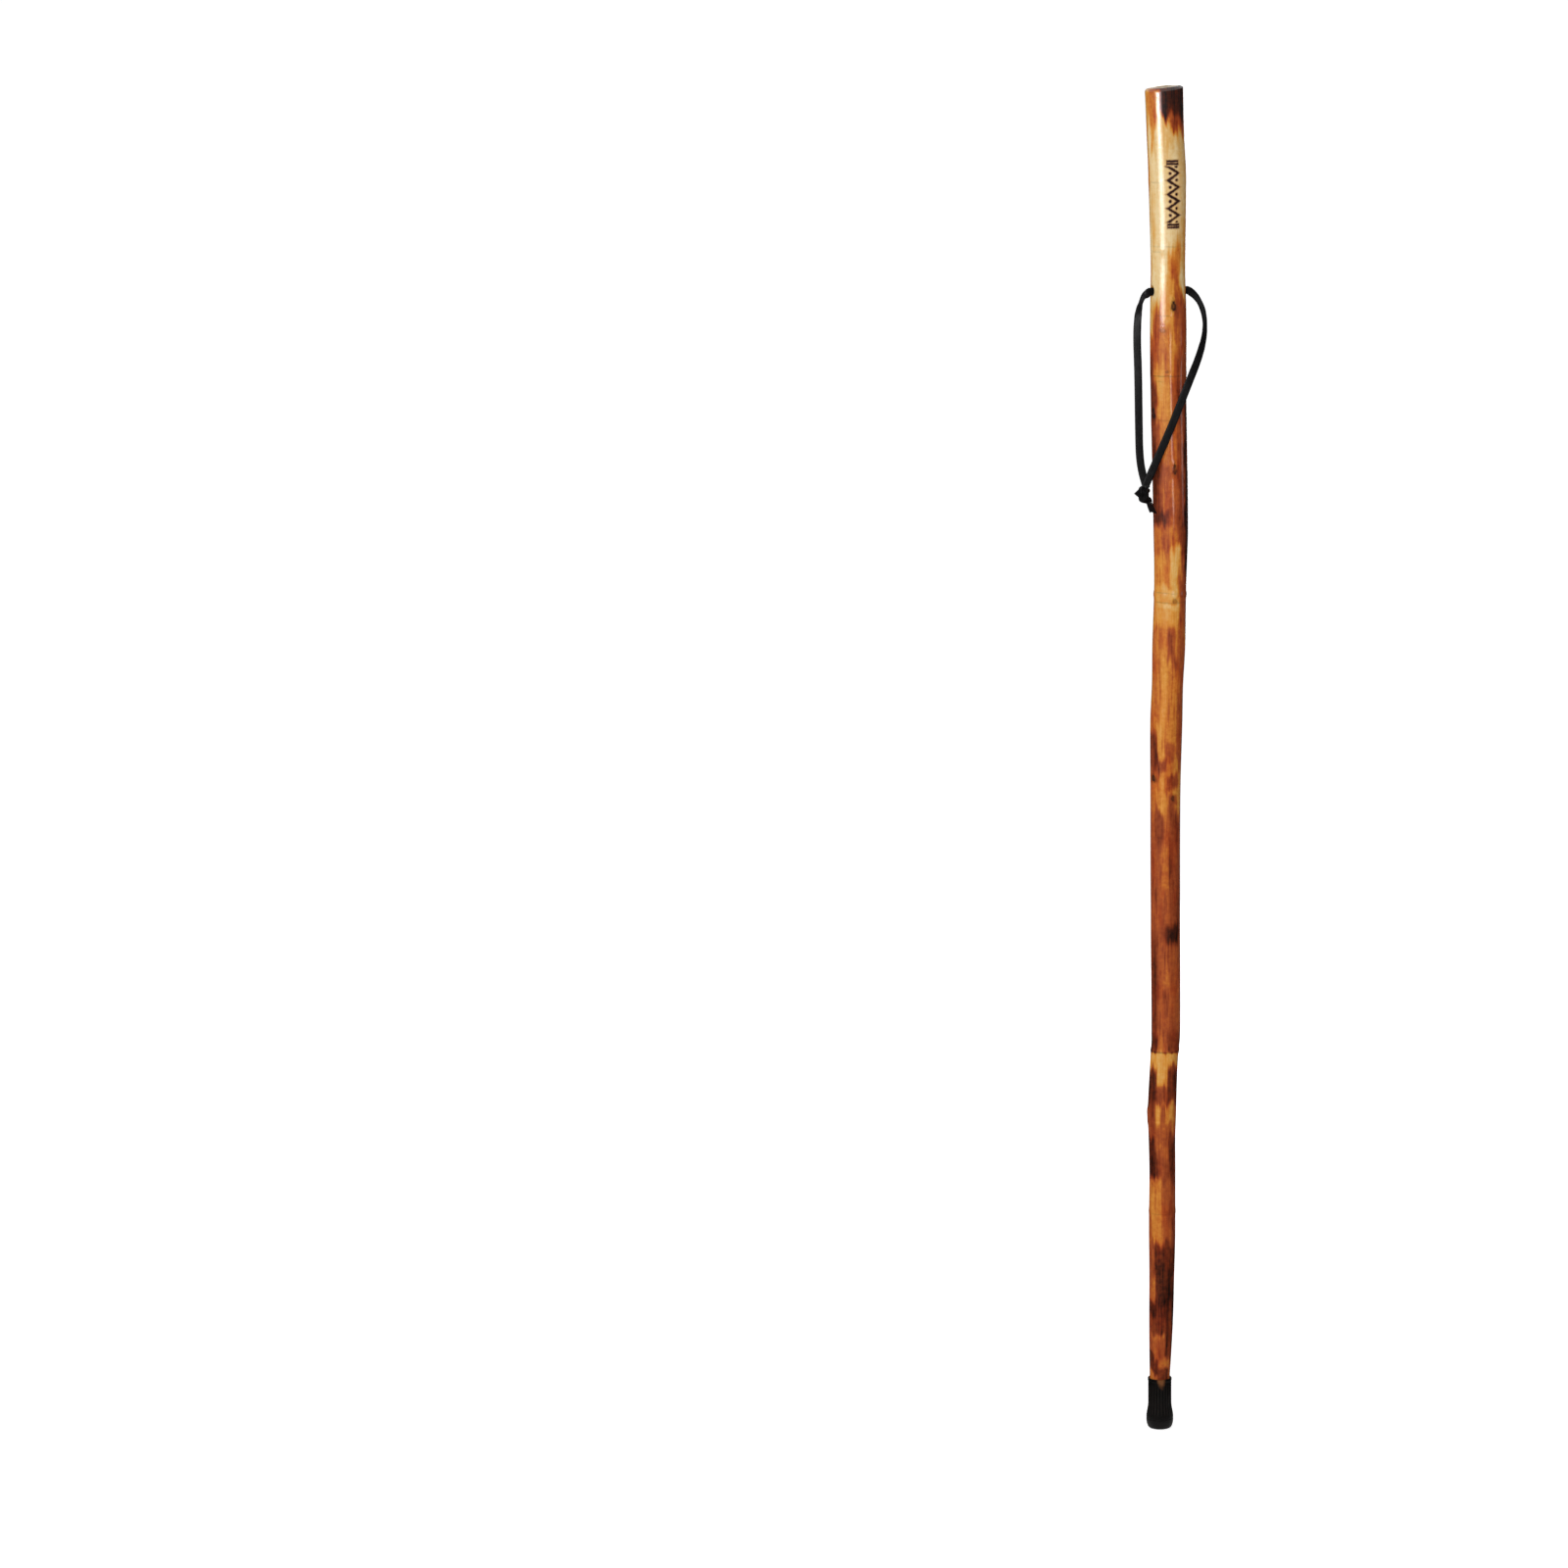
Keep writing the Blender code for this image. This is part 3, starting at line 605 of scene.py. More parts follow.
@dataclass(frozen=True)
class ZincPlatedSteel:
    """Pressed mild steel with bright zinc plating: a pale grey metal with slight clouds."""

    cloud_mm: float = 3.0

    def make(self) -> bpy.types.Material:
        """Builds the material.

        Returns:
            The plated steel.
        """
        made, tree, shader = start_material("mild_steel_zinc_plated")
        spot = add(tree, "TexCoord")["Object"]
        cloud = add(tree, "TexNoise", {"Vector": spot, "Scale": 1 / (self.cloud_mm * MM), "Detail": 3.0})[0]
        colour = ramp(add(tree, "ValToRGB", {0: cloud})[0], ((0.3, "#A9ACB0"), (0.7, "#C6C8CA")))
        rough = add(tree, "MapRange", {"Value": cloud, "To Min": 0.25, "To Max": 0.45})[0]
        plug(shader, {"Base Color": colour, "Roughness": rough, "Metallic": 1.0})
        return made


# The shaft


class Heat(Enum):
    """How far the flame has taken the wood, from 0 to 1."""

    CREAM = 0.06
    STRAW = 0.18
    GOLD = 0.30
    AMBER = 0.42
    TOFFEE = 0.52
    RUSSET = 0.62
    CHESTNUT = 0.74
    BROWN = 0.86
    CHAR = 0.97


CREAM, STRAW, GOLD, AMBER, TOFFEE, RUSSET, CHESTNUT, BROWN, CHAR = Heat


@dataclass(frozen=True)
class Scorch:
    """A patch that the flame has taken to one heat.

    Attributes:
        top: Its upper end, in millimetres above the bore.
        bottom: Its lower end.
        left: Its left side, in degrees round from the front.
        right: Its right side.
        heat: What it was taken to.
        flare: How far its ends reach in tongues, in millimetres.
        soft: How wide its sides fade, in degrees.
        cover: How much of what was there it hides.
    """

    top: float
    bottom: float
    left: float
    right: float
    heat: Heat
    flare: float = 10.0
    soft: float = 14.0
    cover: float = 1.0


@dataclass(frozen=True)
class Knot:
    """The place of a pruned twig: a dark teardrop with a raised lip.

    Attributes:
        height: Its middle, in millimetres above the bore.
        turn: Degrees round from the front.
        tall: Half its height, in millimetres.
        wide: Half its width.
        depth: How deep its eye is.
        dark: How dark its eye is, from 0 to 1.
    """

    height: float
    turn: float
    tall: float
    wide: float
    depth: float
    dark: float


@dataclass(frozen=True)
class Seam:
    """A fine jagged line round part of the shaft, where a growth ring shows.

    Attributes:
        height: Its mean height, in millimetres above the bore.
        left: Where it starts, in degrees from the front.
        right: Where it ends.
        jag: How far it wanders up and down, in millimetres.
        dark: How dark it is, from 0 to 1.
    """

    height: float
    left: float
    right: float
    jag: float
    dark: float


@dataclass
class SaplingShaft:
    """The wooden shaft, from its rounded top end to the plain foot inside the rubber tip."""

    length: float = 1.270
    bore_below_top: float = 0.188
    top_diameter: float = 0.035
    shank_diameter: float = 0.0190
    shank_lead: float = 0.0015
    shank_chamfer: float = 0.0010
    top_edge_radius: float = 0.0035
    top_dome: float = 0.0008
    top_slant: float = 0.0045
    top_slant_reach: float = 0.022
    oval: float = 0.008
    tip_height: float = 0.0487
    foot_above_sole: float = 0.0107
    bore_diameter: float = 0.0095
    bore_turn: float = math.radians(20)
    bore_ease: float = 0.0008
    sides: int = 96
    bore_sides: int = 48
    rounding: int = 9  # rows round the top edge
    face: tuple[float, ...] = (0.14, 0.27, 0.42, 0.6, 0.8, 0.97)  # rows on the top end
    step: float = 0.0019
    fine_step: float = 0.0008
    border_top: float = 0.1150
    border_turn: float = math.radians(18.5)

    girth = (
        (0.000, 1.00), (0.040, 0.97), (0.070, 0.99), (0.105, 0.90), (0.140, 0.80),
        (0.165, 0.89), (0.190, 0.94), (0.250, 0.87), (0.335, 0.81), (0.380, 0.65),
        (0.425, 0.71), (0.455, 0.61), (0.485, 0.65), (0.545, 0.55), (0.640, 0.54),
        (0.725, 0.51), (0.745, 0.44), (0.790, 0.49), (0.810, 0.39), (0.840, 0.35),
        (0.885, 0.37), (0.920, 0.28), (0.950, 0.22), (0.980, 0.11), (1.000, 0.00),
    )  # fmt: skip
    bends = (
        (0.000, -4.0, 1.4), (0.040, -2.4, 1.0), (0.070, -0.9, 0.7), (0.154, -0.1, 0.0),
        (0.220, 0.1, -0.2), (0.270, 0.9, -0.2), (0.335, 2.3, 0.2), (0.380, 1.8, 0.8),
        (0.425, 0.5, 1.6), (0.485, -1.8, 2.6), (0.550, -2.7, 3.4), (0.640, -2.7, 3.8),
        (0.730, -2.3, 3.2), (0.750, -3.9, 2.9), (0.790, -5.9, 2.4), (0.840, -5.5, 1.9),
        (0.920, -6.1, 0.9), (0.980, -7.4, 0.2), (1.000, -8.0, 0.0),
    )  # fmt: skip
    rings = ((0.072, 0.14, 5.0), (0.122, 0.12, 5.0), (0.217, 0.14, 6.0), (0.254, 0.12, 6.0),
             (0.3855, 0.55, 4.0), (0.741, 0.55, 3.5), (0.868, 0.30, 4.0))  # fmt: skip
    stubs = (
        (0.165, 18, 0.60, 8.0, 4.0), (0.246, -62, 0.90, 7.0, 5.0), (0.288, 17, 0.60, 6.0, 5.0),
        (0.345, 150, 1.00, 8.0, 5.0), (0.431, -128, 0.90, 8.0, 5.0), (0.524, 2, 0.60, 6.0, 4.0),
        (0.543, 25, 0.50, 6.0, 4.0), (0.596, 172, 1.00, 8.0, 5.0), (0.648, 36, 0.60, 7.0, 4.0),
        (0.792, -88, 0.90, 9.0, 5.0), (0.850, 140, 0.80, 7.0, 4.0), (0.906, -30, 0.45, 6.0, 4.0),
    )  # fmt: skip

    scorches = tuple(Scorch(*row) for row in (
        # Below the bore the whole shaft is toasted
        (-8, -1100, -200, 200, AMBER, 8, 1, 0.95),
        (-486, -716, -200, 200, RUSSET, 12, 1, 0.95),
        (-740, -1100, -200, 200, TOFFEE, 8, 1, 0.95),
        # The top end
        (192, 150, -58, -40, AMBER, 14, 12),
        (178, 152, -66, -34, TOFFEE, 12, 12, 0.7),
        (166, 130, -52, -28, AMBER, 12, 8, 0.9),
        (192, 158, -40, -24, RUSSET, 10, 10, 0.8),
        (192, 176, -95, -60, GOLD, 4, 10, 0.8),
        (160, 130, -14, 34, GOLD, 8, 14, 0.6),
        (192, 167, -22, 8, BROWN, 5, 8, 0.95),
        (171, 160, -4, 14, CHESTNUT, 5, 8, 0.8),
        (192, 163, -8, 40, CHAR, 6, 8),
        (192, 163, 0, 60, CHAR, 4, 8),
        (192, 152, 24, 130, CHAR, 6, 10),
        (164, 153, 8, 34, RUSSET, 5, 8, 0.85),
        (158, 146, 20, 60, CHESTNUT, 5, 10, 0.9),
        (154, 140, 45, 110, CHESTNUT, 6, 10, 0.8),
        # Painted shade: the right flank is toned gold, darker than the cream beside it, for the shade on that
        # side.
        (142, -8, 60, 120, GOLD, 10, 14, 0.8),
        (142, 30, 42, 66, STRAW, 10, 12, 0.8),
        (92, 38, -62, -42, GOLD, 18, 12, 0.6),
        (160, -8, -120, -74, AMBER, 16, 12, 0.7),
        # From the border down to the bore
        (46, 0, 28, 48, AMBER, 16, 10, 0.85),
        (30, -8, -8, 40, AMBER, 10, 12, 0.85),
        (20, -6, 8, 44, TOFFEE, 8, 10, 0.85),
        (14, 2, 14, 34, RUSSET, 5, 8, 0.8),
        # Below the bore
        (-4, -40, -95, -58, STRAW, 6, 8, 0.85),
        (-14, -66, -56, -28, RUSSET, 8, 10, 0.85),
        (2, -30, -18, 8, GOLD, 6, 10, 0.9),
        (-26, -40, -34, 4, TOFFEE, 4, 10, 0.9),
        (-4, -70, 18, 95, RUSSET, 8, 12, 0.9),
        (-16, -48, 10, 28, CHESTNUT, 6, 8, 0.7),
        (-40, -66, -40, 12, TOFFEE, 8, 12, 0.8),
        (-40, -60, -74, -42, RUSSET, 8, 10, 0.9),
        (-60, -130, 22, 95, CHESTNUT, 10, 12, 0.85),
        (-64, -124, -54, -10, GOLD, 10, 14, 0.85),
        (-66, -130, -12, 6, AMBER, 10, 10, 0.8),
        (-78, -130, 2, 24, RUSSET, 10, 8, 0.85),
        (-58, -222, -110, -52, BROWN, 12, 12, 0.9),
        (-98, -150, -66, -46, BROWN, 12, 12, 0.85),
        # The stretch behind the tied lace
        (-122, -170, -50, 0, TOFFEE, 10, 14, 0.9),
        (-124, -144, -60, -28, CHESTNUT, 6, 10, 0.8),
        (-134, -166, 0, 30, TOFFEE, 10, 12, 0.6),
        (-130, -180, 28, 56, CHESTNUT, 12, 12, 0.8),
        (-172, -244, 32, 58, BROWN, 10, 12, 0.85),
        (-104, -264, 52, 116, CHAR, 12, 10, 0.95),
        # Painted shadow: a brown band where the lace and its knot shade the wood.
        (-150, -214, -66, -32, BROWN, 8, 12, 0.75),
        (-160, -172, -40, 0, CHESTNUT, 6, 12, 0.6),
        (-168, -204, -38, 0, RUSSET, 6, 12, 0.9),
        (-166, -228, 6, 50, CHESTNUT, 10, 12, 0.7),
        # Painted shadow: a brown arc below the knot, cast by the lace's tails.
        (-203, -219, -62, -6, BROWN, 3, 10, 0.9),
        # Down to the pale ring
        (-216, -246, -80, -8, TOFFEE, 5, 12, 0.95),
        (-246, -272, -60, -8, AMBER, 8, 12, 0.9),
        (-238, -274, -8, 34, STRAW, 6, 10, 0.9),
        (-272, -312, -62, 36, GOLD, 3, 12, 0.95),
        (-272, -282, -44, 30, STRAW, 3, 10, 0.5),
        (-283, -289, 0, 30, TOFFEE, 2, 8, 0.7),
        (-289, -293, -50, 34, STRAW, 1.5, 10, 0.7),
        (-262, -322, 40, 95, CHESTNUT, 10, 10, 0.7),
        (-310, -352, -80, 60, AMBER, 6, 14, 0.9),
        (-312, -350, -72, -32, TOFFEE, 8, 10, 0.8),
        (-314, -346, 0, 26, CHESTNUT, 6, 8, 0.8),
        (-314, -350, 26, 64, RUSSET, 8, 10, 0.8),
        # The golden stretch
        (-345, -404, -74, -28, TOFFEE, 12, 10, 0.85),
        (-336, -404, -26, 2, GOLD, 12, 10, 0.6),
        (-345, -404, 6, 40, TOFFEE, 12, 10, 0.5),
        (-345, -440, 40, 95, RUSSET, 14, 10, 0.85),
        (-398, -442, -26, -6, GOLD, 8, 8, 0.95),
        (-412, -452, -90, -28, CHESTNUT, 7, 8, 0.95),
        (-418, -448, -50, -26, BROWN, 5, 8, 0.7),
        (-418, -436, -6, 36, RUSSET, 4, 8, 0.85),
        (-435, -446, -24, -2, CHESTNUT, 3, 6, 0.8),
        (-434, -450, 0, 34, AMBER, 4, 8, 0.7),
        # The mottled stretch with the side knot
        (-448, -500, -80, -32, TOFFEE, 8, 10, 0.8),
        (-448, -490, -30, -8, GOLD, 7, 8, 0.95),
        (-448, -480, -6, 36, TOFFEE, 8, 10, 0.8),
        (-450, -464, 8, 60, CHESTNUT, 4, 8, 0.85),
        (-470, -478, 12, 50, CHESTNUT, 3, 6, 0.7),
        (-476, -492, 10, 38, CHESTNUT, 4, 8, 0.85),
        # The long russet stretch
        (-486, -522, -36, -6, CHESTNUT, 6, 8, 0.95),
        (-490, -520, -6, 14, TOFFEE, 6, 8, 0.8),
        (-490, -600, 14, 64, CHESTNUT, 10, 10, 0.7),
        (-500, -604, -76, -34, CHESTNUT, 10, 10, 0.4),
        (-520, -568, -20, 14, TOFFEE, 8, 8, 0.9),
        (-594, -613, 2, 56, BROWN, 4, 8, 0.97),
        (-597, -609, 10, 46, CHAR, 4, 8, 0.6),
        (-596, -608, -20, 4, CHESTNUT, 4, 8, 0.5),
        (-604, -716, -84, -28, CHESTNUT, 8, 8, 0.95),
        (-620, -700, -84, -36, BROWN, 8, 8, 0.4),
        (-612, -700, -26, 20, TOFFEE, 8, 10, 0.35),
        (-643, -653, -18, -2, AMBER, 2, 6, 0.7),
        (-656, -680, -8, 16, CHESTNUT, 4, 8, 0.4),
        (-696, -717, -34, 4, TOFFEE, 4, 8, 0.8),
        (-696, -717, 10, 80, CHESTNUT, 4, 8, 0.95),
        (-700, -717, -84, -38, BROWN, 3, 8, 0.9),
        # Below the sharp ring
        (-716.5, -748, -110, 110, GOLD, 1.5, 14),
        (-731, -768, -110, -22, BROWN, 6, 10, 0.97),
        (-728, -768, 6, 110, BROWN, 6, 10, 0.85),
        (-748, -768, -26, 8, CHESTNUT, 5, 12, 0.9),
        (-740, -766, 38, 110, BROWN, 5, 12, 0.6),
        (-765, -790, -54, 44, AMBER, 4, 12, 0.95),
        (-765, -790, -60, -26, RUSSET, 5, 10, 0.8),
        (-767, -786, -26, -8, GOLD, 4, 8, 0.8),
        (-766, -787, -2, 12, CHESTNUT, 3, 8, 0.85),
        (-784, -802, -36, 36, RUSSET, 4, 12, 0.85),
        (-797, -842, -110, -20, BROWN, 5, 14, 0.98),
        (-800, -840, -24, -2, CHESTNUT, 5, 12, 0.9),
        (-800, -840, -4, 26, RUSSET, 6, 12, 0.85),
        (-818, -840, 8, 34, CHESTNUT, 5, 10, 0.85),
        (-796, -846, 28, 110, BROWN, 6, 12, 0.85),
        (-736, -834, -110, -28, BROWN, 6, 12, 0.4),
        (-838, -904, -110, 6, AMBER, 4, 10, 0.9),
        (-838, -904, -110, -50, TOFFEE, 6, 10, 0.7),
        (-838, -904, 6, 32, RUSSET, 5, 8, 0.85),
        (-838, -904, 32, 110, CHESTNUT, 8, 10, 0.7),
        # The charred stretch and the foot
        (-902, -990, -110, -30, RUSSET, 6, 8, 0.9),
        (-930, -958, -56, -24, TOFFEE, 5, 8, 0.9),
        (-902, -990, -12, 110, BROWN, 6, 8, 0.97),
        (-918, -972, 4, 110, CHAR, 8, 10, 0.45),
        (-903, -990, -30, -8, BROWN, 4, 6, 0.97),
        (-901, -934, -46, -22, BROWN, 6, 8, 0.95),
        (-957, -972, -110, -26, BROWN, 3, 8, 0.95),
        (-970, -990, -110, 6, CHESTNUT, 4, 10, 0.85),
        (-962, -984, -16, 24, CHESTNUT, 4, 10, 0.6),
        (-989, -1036, -110, 110, TOFFEE, 2.5, 10, 0.97),
        (-994, -1012, -110, 24, RUSSET, 3, 10, 0.85),
        (-996, -1008, -8, 12, CHESTNUT, 2, 8, 0.5),
        (-986, -1012, 19, 70, BROWN, 3, 8, 0.9),
        (-1006, -1024, -80, -26, BROWN, 2.5, 8, 0.95),
        (-1013, -1028, -34, -4, BROWN, 2.5, 8, 0.9),
        (-1021, -1036, -10, 54, BROWN, 2, 8, 0.85),
    ))  # fmt: skip
    knots = tuple(Knot(*row) for row in (
        (-13.0, 17, 5.2, 2.1, 0.5, 1.0),
        (-35.3, -17, 2.2, 3.4, 0.0, 0.35),
        (-73.2, -3, 1.5, 1.6, 0.0, 0.5),
        (-112.3, -56, 5.5, 2.2, 0.6, 1.0),
        (-163.5, 17, 5.5, 1.7, 0.4, 0.9),
        (174.5, 9, 1.6, 1.0, 0.2, 0.2),
        (-287.0, 18, 2.6, 2.4, 0.2, 0.45),
        (-454.5, -52, 3.2, 2.6, 0.7, 0.95),
        (-473.0, 30, 3.0, 1.8, 0.4, 0.8),
        (-603.5, 26, 3.2, 2.0, 0.3, 0.6),
        (-232.0, 148, 5.0, 2.6, 0.6, 1.0),
        (-337.5, -128, 5.0, 2.4, 0.6, 0.9),
        (-539.0, 172, 5.4, 2.6, 0.6, 1.0),
        (-778.5, -88, 5.0, 2.2, 0.5, 0.9),
        (-849.0, 140, 4.4, 2.2, 0.5, 0.9),
    ))  # fmt: skip
    seams = tuple(Seam(*row) for row in (
        (99.9, -60, -20, 0.4, 0.35),
        (41.5, -70, 60, 0.4, 0.30),
        (36.5, -66, -24, 0.3, 0.30),
        (-22.0, -44, 4, 0.4, 0.45),
        (-77.5, -64, 56, 1.0, 0.60),
        (-82.5, -50, -16, 0.4, 0.35),
        (-118.5, -56, 6, 0.6, 0.30),
        (-279.5, -80, 80, 0.8, 0.32),
        (-288.5, -80, 80, 0.6, 0.35),
        (-715.8, -180, 180, 0.7, 0.85),
        (-872.0, -60, 70, 0.6, 0.25),
    ))  # fmt: skip

    @property
    def sole(self) -> float:
        """Height of the rubber tip's sole."""
        return self.bore_below_top - self.length

    @property
    def tip_rim(self) -> float:
        """Height of the rubber tip's rim."""
        return self.sole + self.tip_height

    def share(self, z: np.ndarray) -> np.ndarray:
        """Share of the way down the stem, from the top end to the plain foot."""
        stem = self.bore_below_top - self.tip_rim - self.shank_lead
        return np.clip((self.bore_below_top - z) / stem, 0, 1)

    def centre(self, z: np.ndarray) -> np.ndarray:
        """Middle of the shaft at each height.

        Args:
            z: Heights in metres.

        Returns:
            One point for each height.
        """
        off = smooth_table(self.bends, self.share(z)) - smooth_table(self.bends, self.share(np.zeros(1)))
        return np.column_stack([off * MM, z])

    def radius(self, z: np.ndarray) -> np.ndarray:
        """Mean radius of the shaft at each height."""
        full = smooth_table(self.girth, self.share(z))[:, 0]
        return (self.shank_diameter + full * (self.top_diameter - self.shank_diameter)) / 2

    def swelling(self, z: np.ndarray, angle: np.ndarray, radius: np.ndarray) -> np.ndarray:
        """Rise of the growth rings and branch stubs.

        Args:
            z: Heights in metres.
            angle: Angles from the front, in radians.
            radius: Mean radii in metres.

        Returns:
            The rise at each place, in metres.
        """
        stem = self.bore_below_top - self.tip_rim - self.shank_lead
        rise = np.zeros_like(z)
        for share, height, half in self.rings:
            away = (z - self.bore_below_top + share * stem) / (half * MM)
            rise += height * MM * np.exp(-2 * away**2)
        for share, degrees, height, tall, wide in self.stubs:
            up = (z - self.bore_below_top + share * stem) / (tall * MM)
            turn = (angle - math.radians(degrees) + np.pi) % (2 * np.pi) - np.pi
            across = turn * radius / (wide * MM)
            rise += height * MM * np.exp(-2 * (up**2 + across**2))
        return rise

    def heights(self) -> np.ndarray:
        """Heights of the skin's rows, closer together where something fine is drawn.

        Returns:
            The heights from the top down.
        """
        top = self.bore_below_top - self.top_edge_radius
        foot = self.tip_rim + self.shank_lead
        places = [z * MM for z in np.arange(-1100, 200, self.step / MM)]
        fine = [(k.height, k.tall + 2.5) for k in self.knots]
        fine += [(s.height, s.jag + 1.6) for s in self.seams]
        for middle, half in fine:
            places += [(middle + d) * MM for d in np.arange(-half, half, self.fine_step / MM)]
        kept = [top]
        for z in sorted(places, reverse=True):
            if foot < z < kept[-1] - self.fine_step * 0.6:
                kept.append(z)
        return np.array([*kept, foot])

    def ring_points(self, z: np.ndarray, shrink: np.ndarray, lift: np.ndarray) -> np.ndarray:
        """Rings of points round the shaft.

        Args:
            z: Heights of the rings.
            shrink: How far each is pulled in.
            lift: How far each is raised with the slanted cut.

        Returns:
            Points by ring, place in the ring, and coordinate.
        """
        angle = 2 * np.pi * np.arange(self.sides) / self.sides
        zz, aa = np.meshgrid(z, angle, indexing="ij")
        flat_z, flat_a = zz.ravel(), aa.ravel()
        radius = self.radius(flat_z)
        share = self.share(flat_z)
        organic = np.where(share < 0.97, 1.0, np.clip((1 - share) / 0.03, 0, 1))
        oval = self.oval * (np.cos(2 * flat_a + 9 * flat_z) + 0.5 * np.cos(3 * flat_a - 14 * flat_z))
        r = radius * (1 + organic * oval) + organic * self.swelling(flat_z, flat_a, radius)
        flat_points = np.column_stack([r * np.sin(flat_a), -r * np.cos(flat_a), flat_z])
        r += organic * grain_noise(flat_points, 0.011, 0.050, 3.0) * 0.00016
        r += organic * self.knot_relief(flat_z, flat_a, radius)
        r -= np.repeat(shrink, self.sides)
        slanted = np.clip(1 - (self.bore_below_top - flat_z) / self.top_slant_reach, 0, None) ** 2
        x, y = r * np.sin(flat_a), -r * np.cos(flat_a)
        drop = self.top_slant * slanted * (1 - x / radius) / 2
        centre = self.centre(flat_z)
        up = np.repeat(lift, self.sides) - drop
        points = centre + np.column_stack([x, y, up])
        return points.reshape(len(z), self.sides, 3)

    def knot_relief(self, z: np.ndarray, angle: np.ndarray, radius: np.ndarray) -> np.ndarray:
        """The eyes and lips of the twig knots.

        Args:
            z: Heights in metres.
            angle: Angles from the front, in radians.
            radius: Mean radii in metres.

        Returns:
            The rise at each place, in metres.
        """
        rise = np.zeros_like(z)
        for knot in self.knots:
            away = self.from_knot(knot, z, angle, radius)
            eye = np.exp(-2.5 * away**2)
            lip = np.exp(-6 * (away - 1.25) ** 2)
            rise += knot.depth * MM * (0.45 * lip - eye)
        return rise

    def from_knot(self, knot: Knot, z: np.ndarray, angle: np.ndarray, radius: np.ndarray) -> np.ndarray:
        """How far each place is from a knot's middle, where 1 is its edge."""
        turn = (angle - math.radians(knot.turn) + np.pi) % (2 * np.pi) - np.pi
        up = (z - knot.height * MM) / (knot.tall * MM)
        narrow = 1 - 0.35 * np.clip(up, -0.5, 1)
        return np.hypot(up, turn * radius / (knot.wide * MM * narrow))

    def build(self) -> bpy.types.Object:
        """Makes the shaft's skin, with the lace's bore cut through it.

        Returns:
            The skin.
        """
        body = self.heights()
        turns = [math.pi / 2 * k / self.rounding for k in range(self.rounding, 0, -1)]
        edge = self.bore_below_top - self.top_edge_radius
        full = self.radius(np.array([edge]))[0]
        inward = [full - (full - self.top_edge_radius) * share for share in self.face]
        inward += [self.top_edge_radius * (1 - math.cos(a)) for a in turns]
        rise = [self.top_edge_radius + self.top_dome * (1 - share**2) ** 2 for share in self.face]
        rise += [self.top_edge_radius * math.sin(a) for a in turns]
        foot_end = self.sole + self.foot_above_sole
        z = [edge] * len(inward) + body.tolist() + [foot_end + self.shank_chamfer, foot_end]
        shrink = inward + [0.0] * (len(body) + 1) + [self.shank_chamfer]
        lift = rise + [0.0] * (len(body) + 2)
        rings = self.ring_points(np.array(z), np.array(shrink), np.array(lift))
        shaft = skin("shaft_skin", rings, rings[0].mean(axis=0), rings[-1].mean(axis=0))
        self.cut_bore(shaft)
        self.paint(shaft)
        return shaft

    def cut_bore(self, shaft: bpy.types.Object) -> None:
        """Cuts the lace's bore through the skin, with eased mouths.

        Args:
            shaft: The skin, whose mesh is changed.
        """
        bm = bmesh.new()
        edge = self.radius(np.zeros(1))[0]
        wide = self.bore_diameter / 2 + self.bore_ease * 2
        narrow = self.bore_diameter / 2
        outline = [(wide, edge * 2), (wide, edge + self.bore_ease), (narrow, edge - self.bore_ease * 1.5)]
        outline += [(r, -z) for r, z in reversed(outline)]
        turns = [2 * math.pi * k / self.bore_sides for k in range(self.bore_sides)]
        rings = [[bm.verts.new((r * math.cos(a), r * math.sin(a), z)) for a in turns] for r, z in outline]
        for here, there in zip(rings, rings[1:]):
            for k in range(self.bore_sides):
                n = (k + 1) % self.bore_sides
                bm.faces.new((here[k], here[n], there[n], there[k]))
        bm.faces.new(rings[0])
        bm.faces.new(rings[-1])
        bmesh.ops.recalc_face_normals(bm, faces=bm.faces)
        mesh = bpy.data.meshes.new("bore_cutter")
        bm.to_mesh(mesh)
        bm.free()
        cutter = new_object("bore_cutter", mesh)
        cutter.rotation_euler = (0, math.pi / 2, self.bore_turn)
        bore = shaft.modifiers.new("cross_bore", "BOOLEAN")
        bore.operation = "DIFFERENCE"
        bore.solver = "EXACT"
        bore.object = cutter
        bpy.context.view_layer.update()
        graph = bpy.context.evaluated_depsgraph_get()
        cut = bpy.data.meshes.new_from_object(shaft.evaluated_get(graph))
        shaft.modifiers.clear()
        shaft.data = cut
        bpy.data.objects.remove(cutter, do_unlink=True)
        cut.shade_smooth()
        cut.set_sharp_from_angle(angle=math.radians(48))

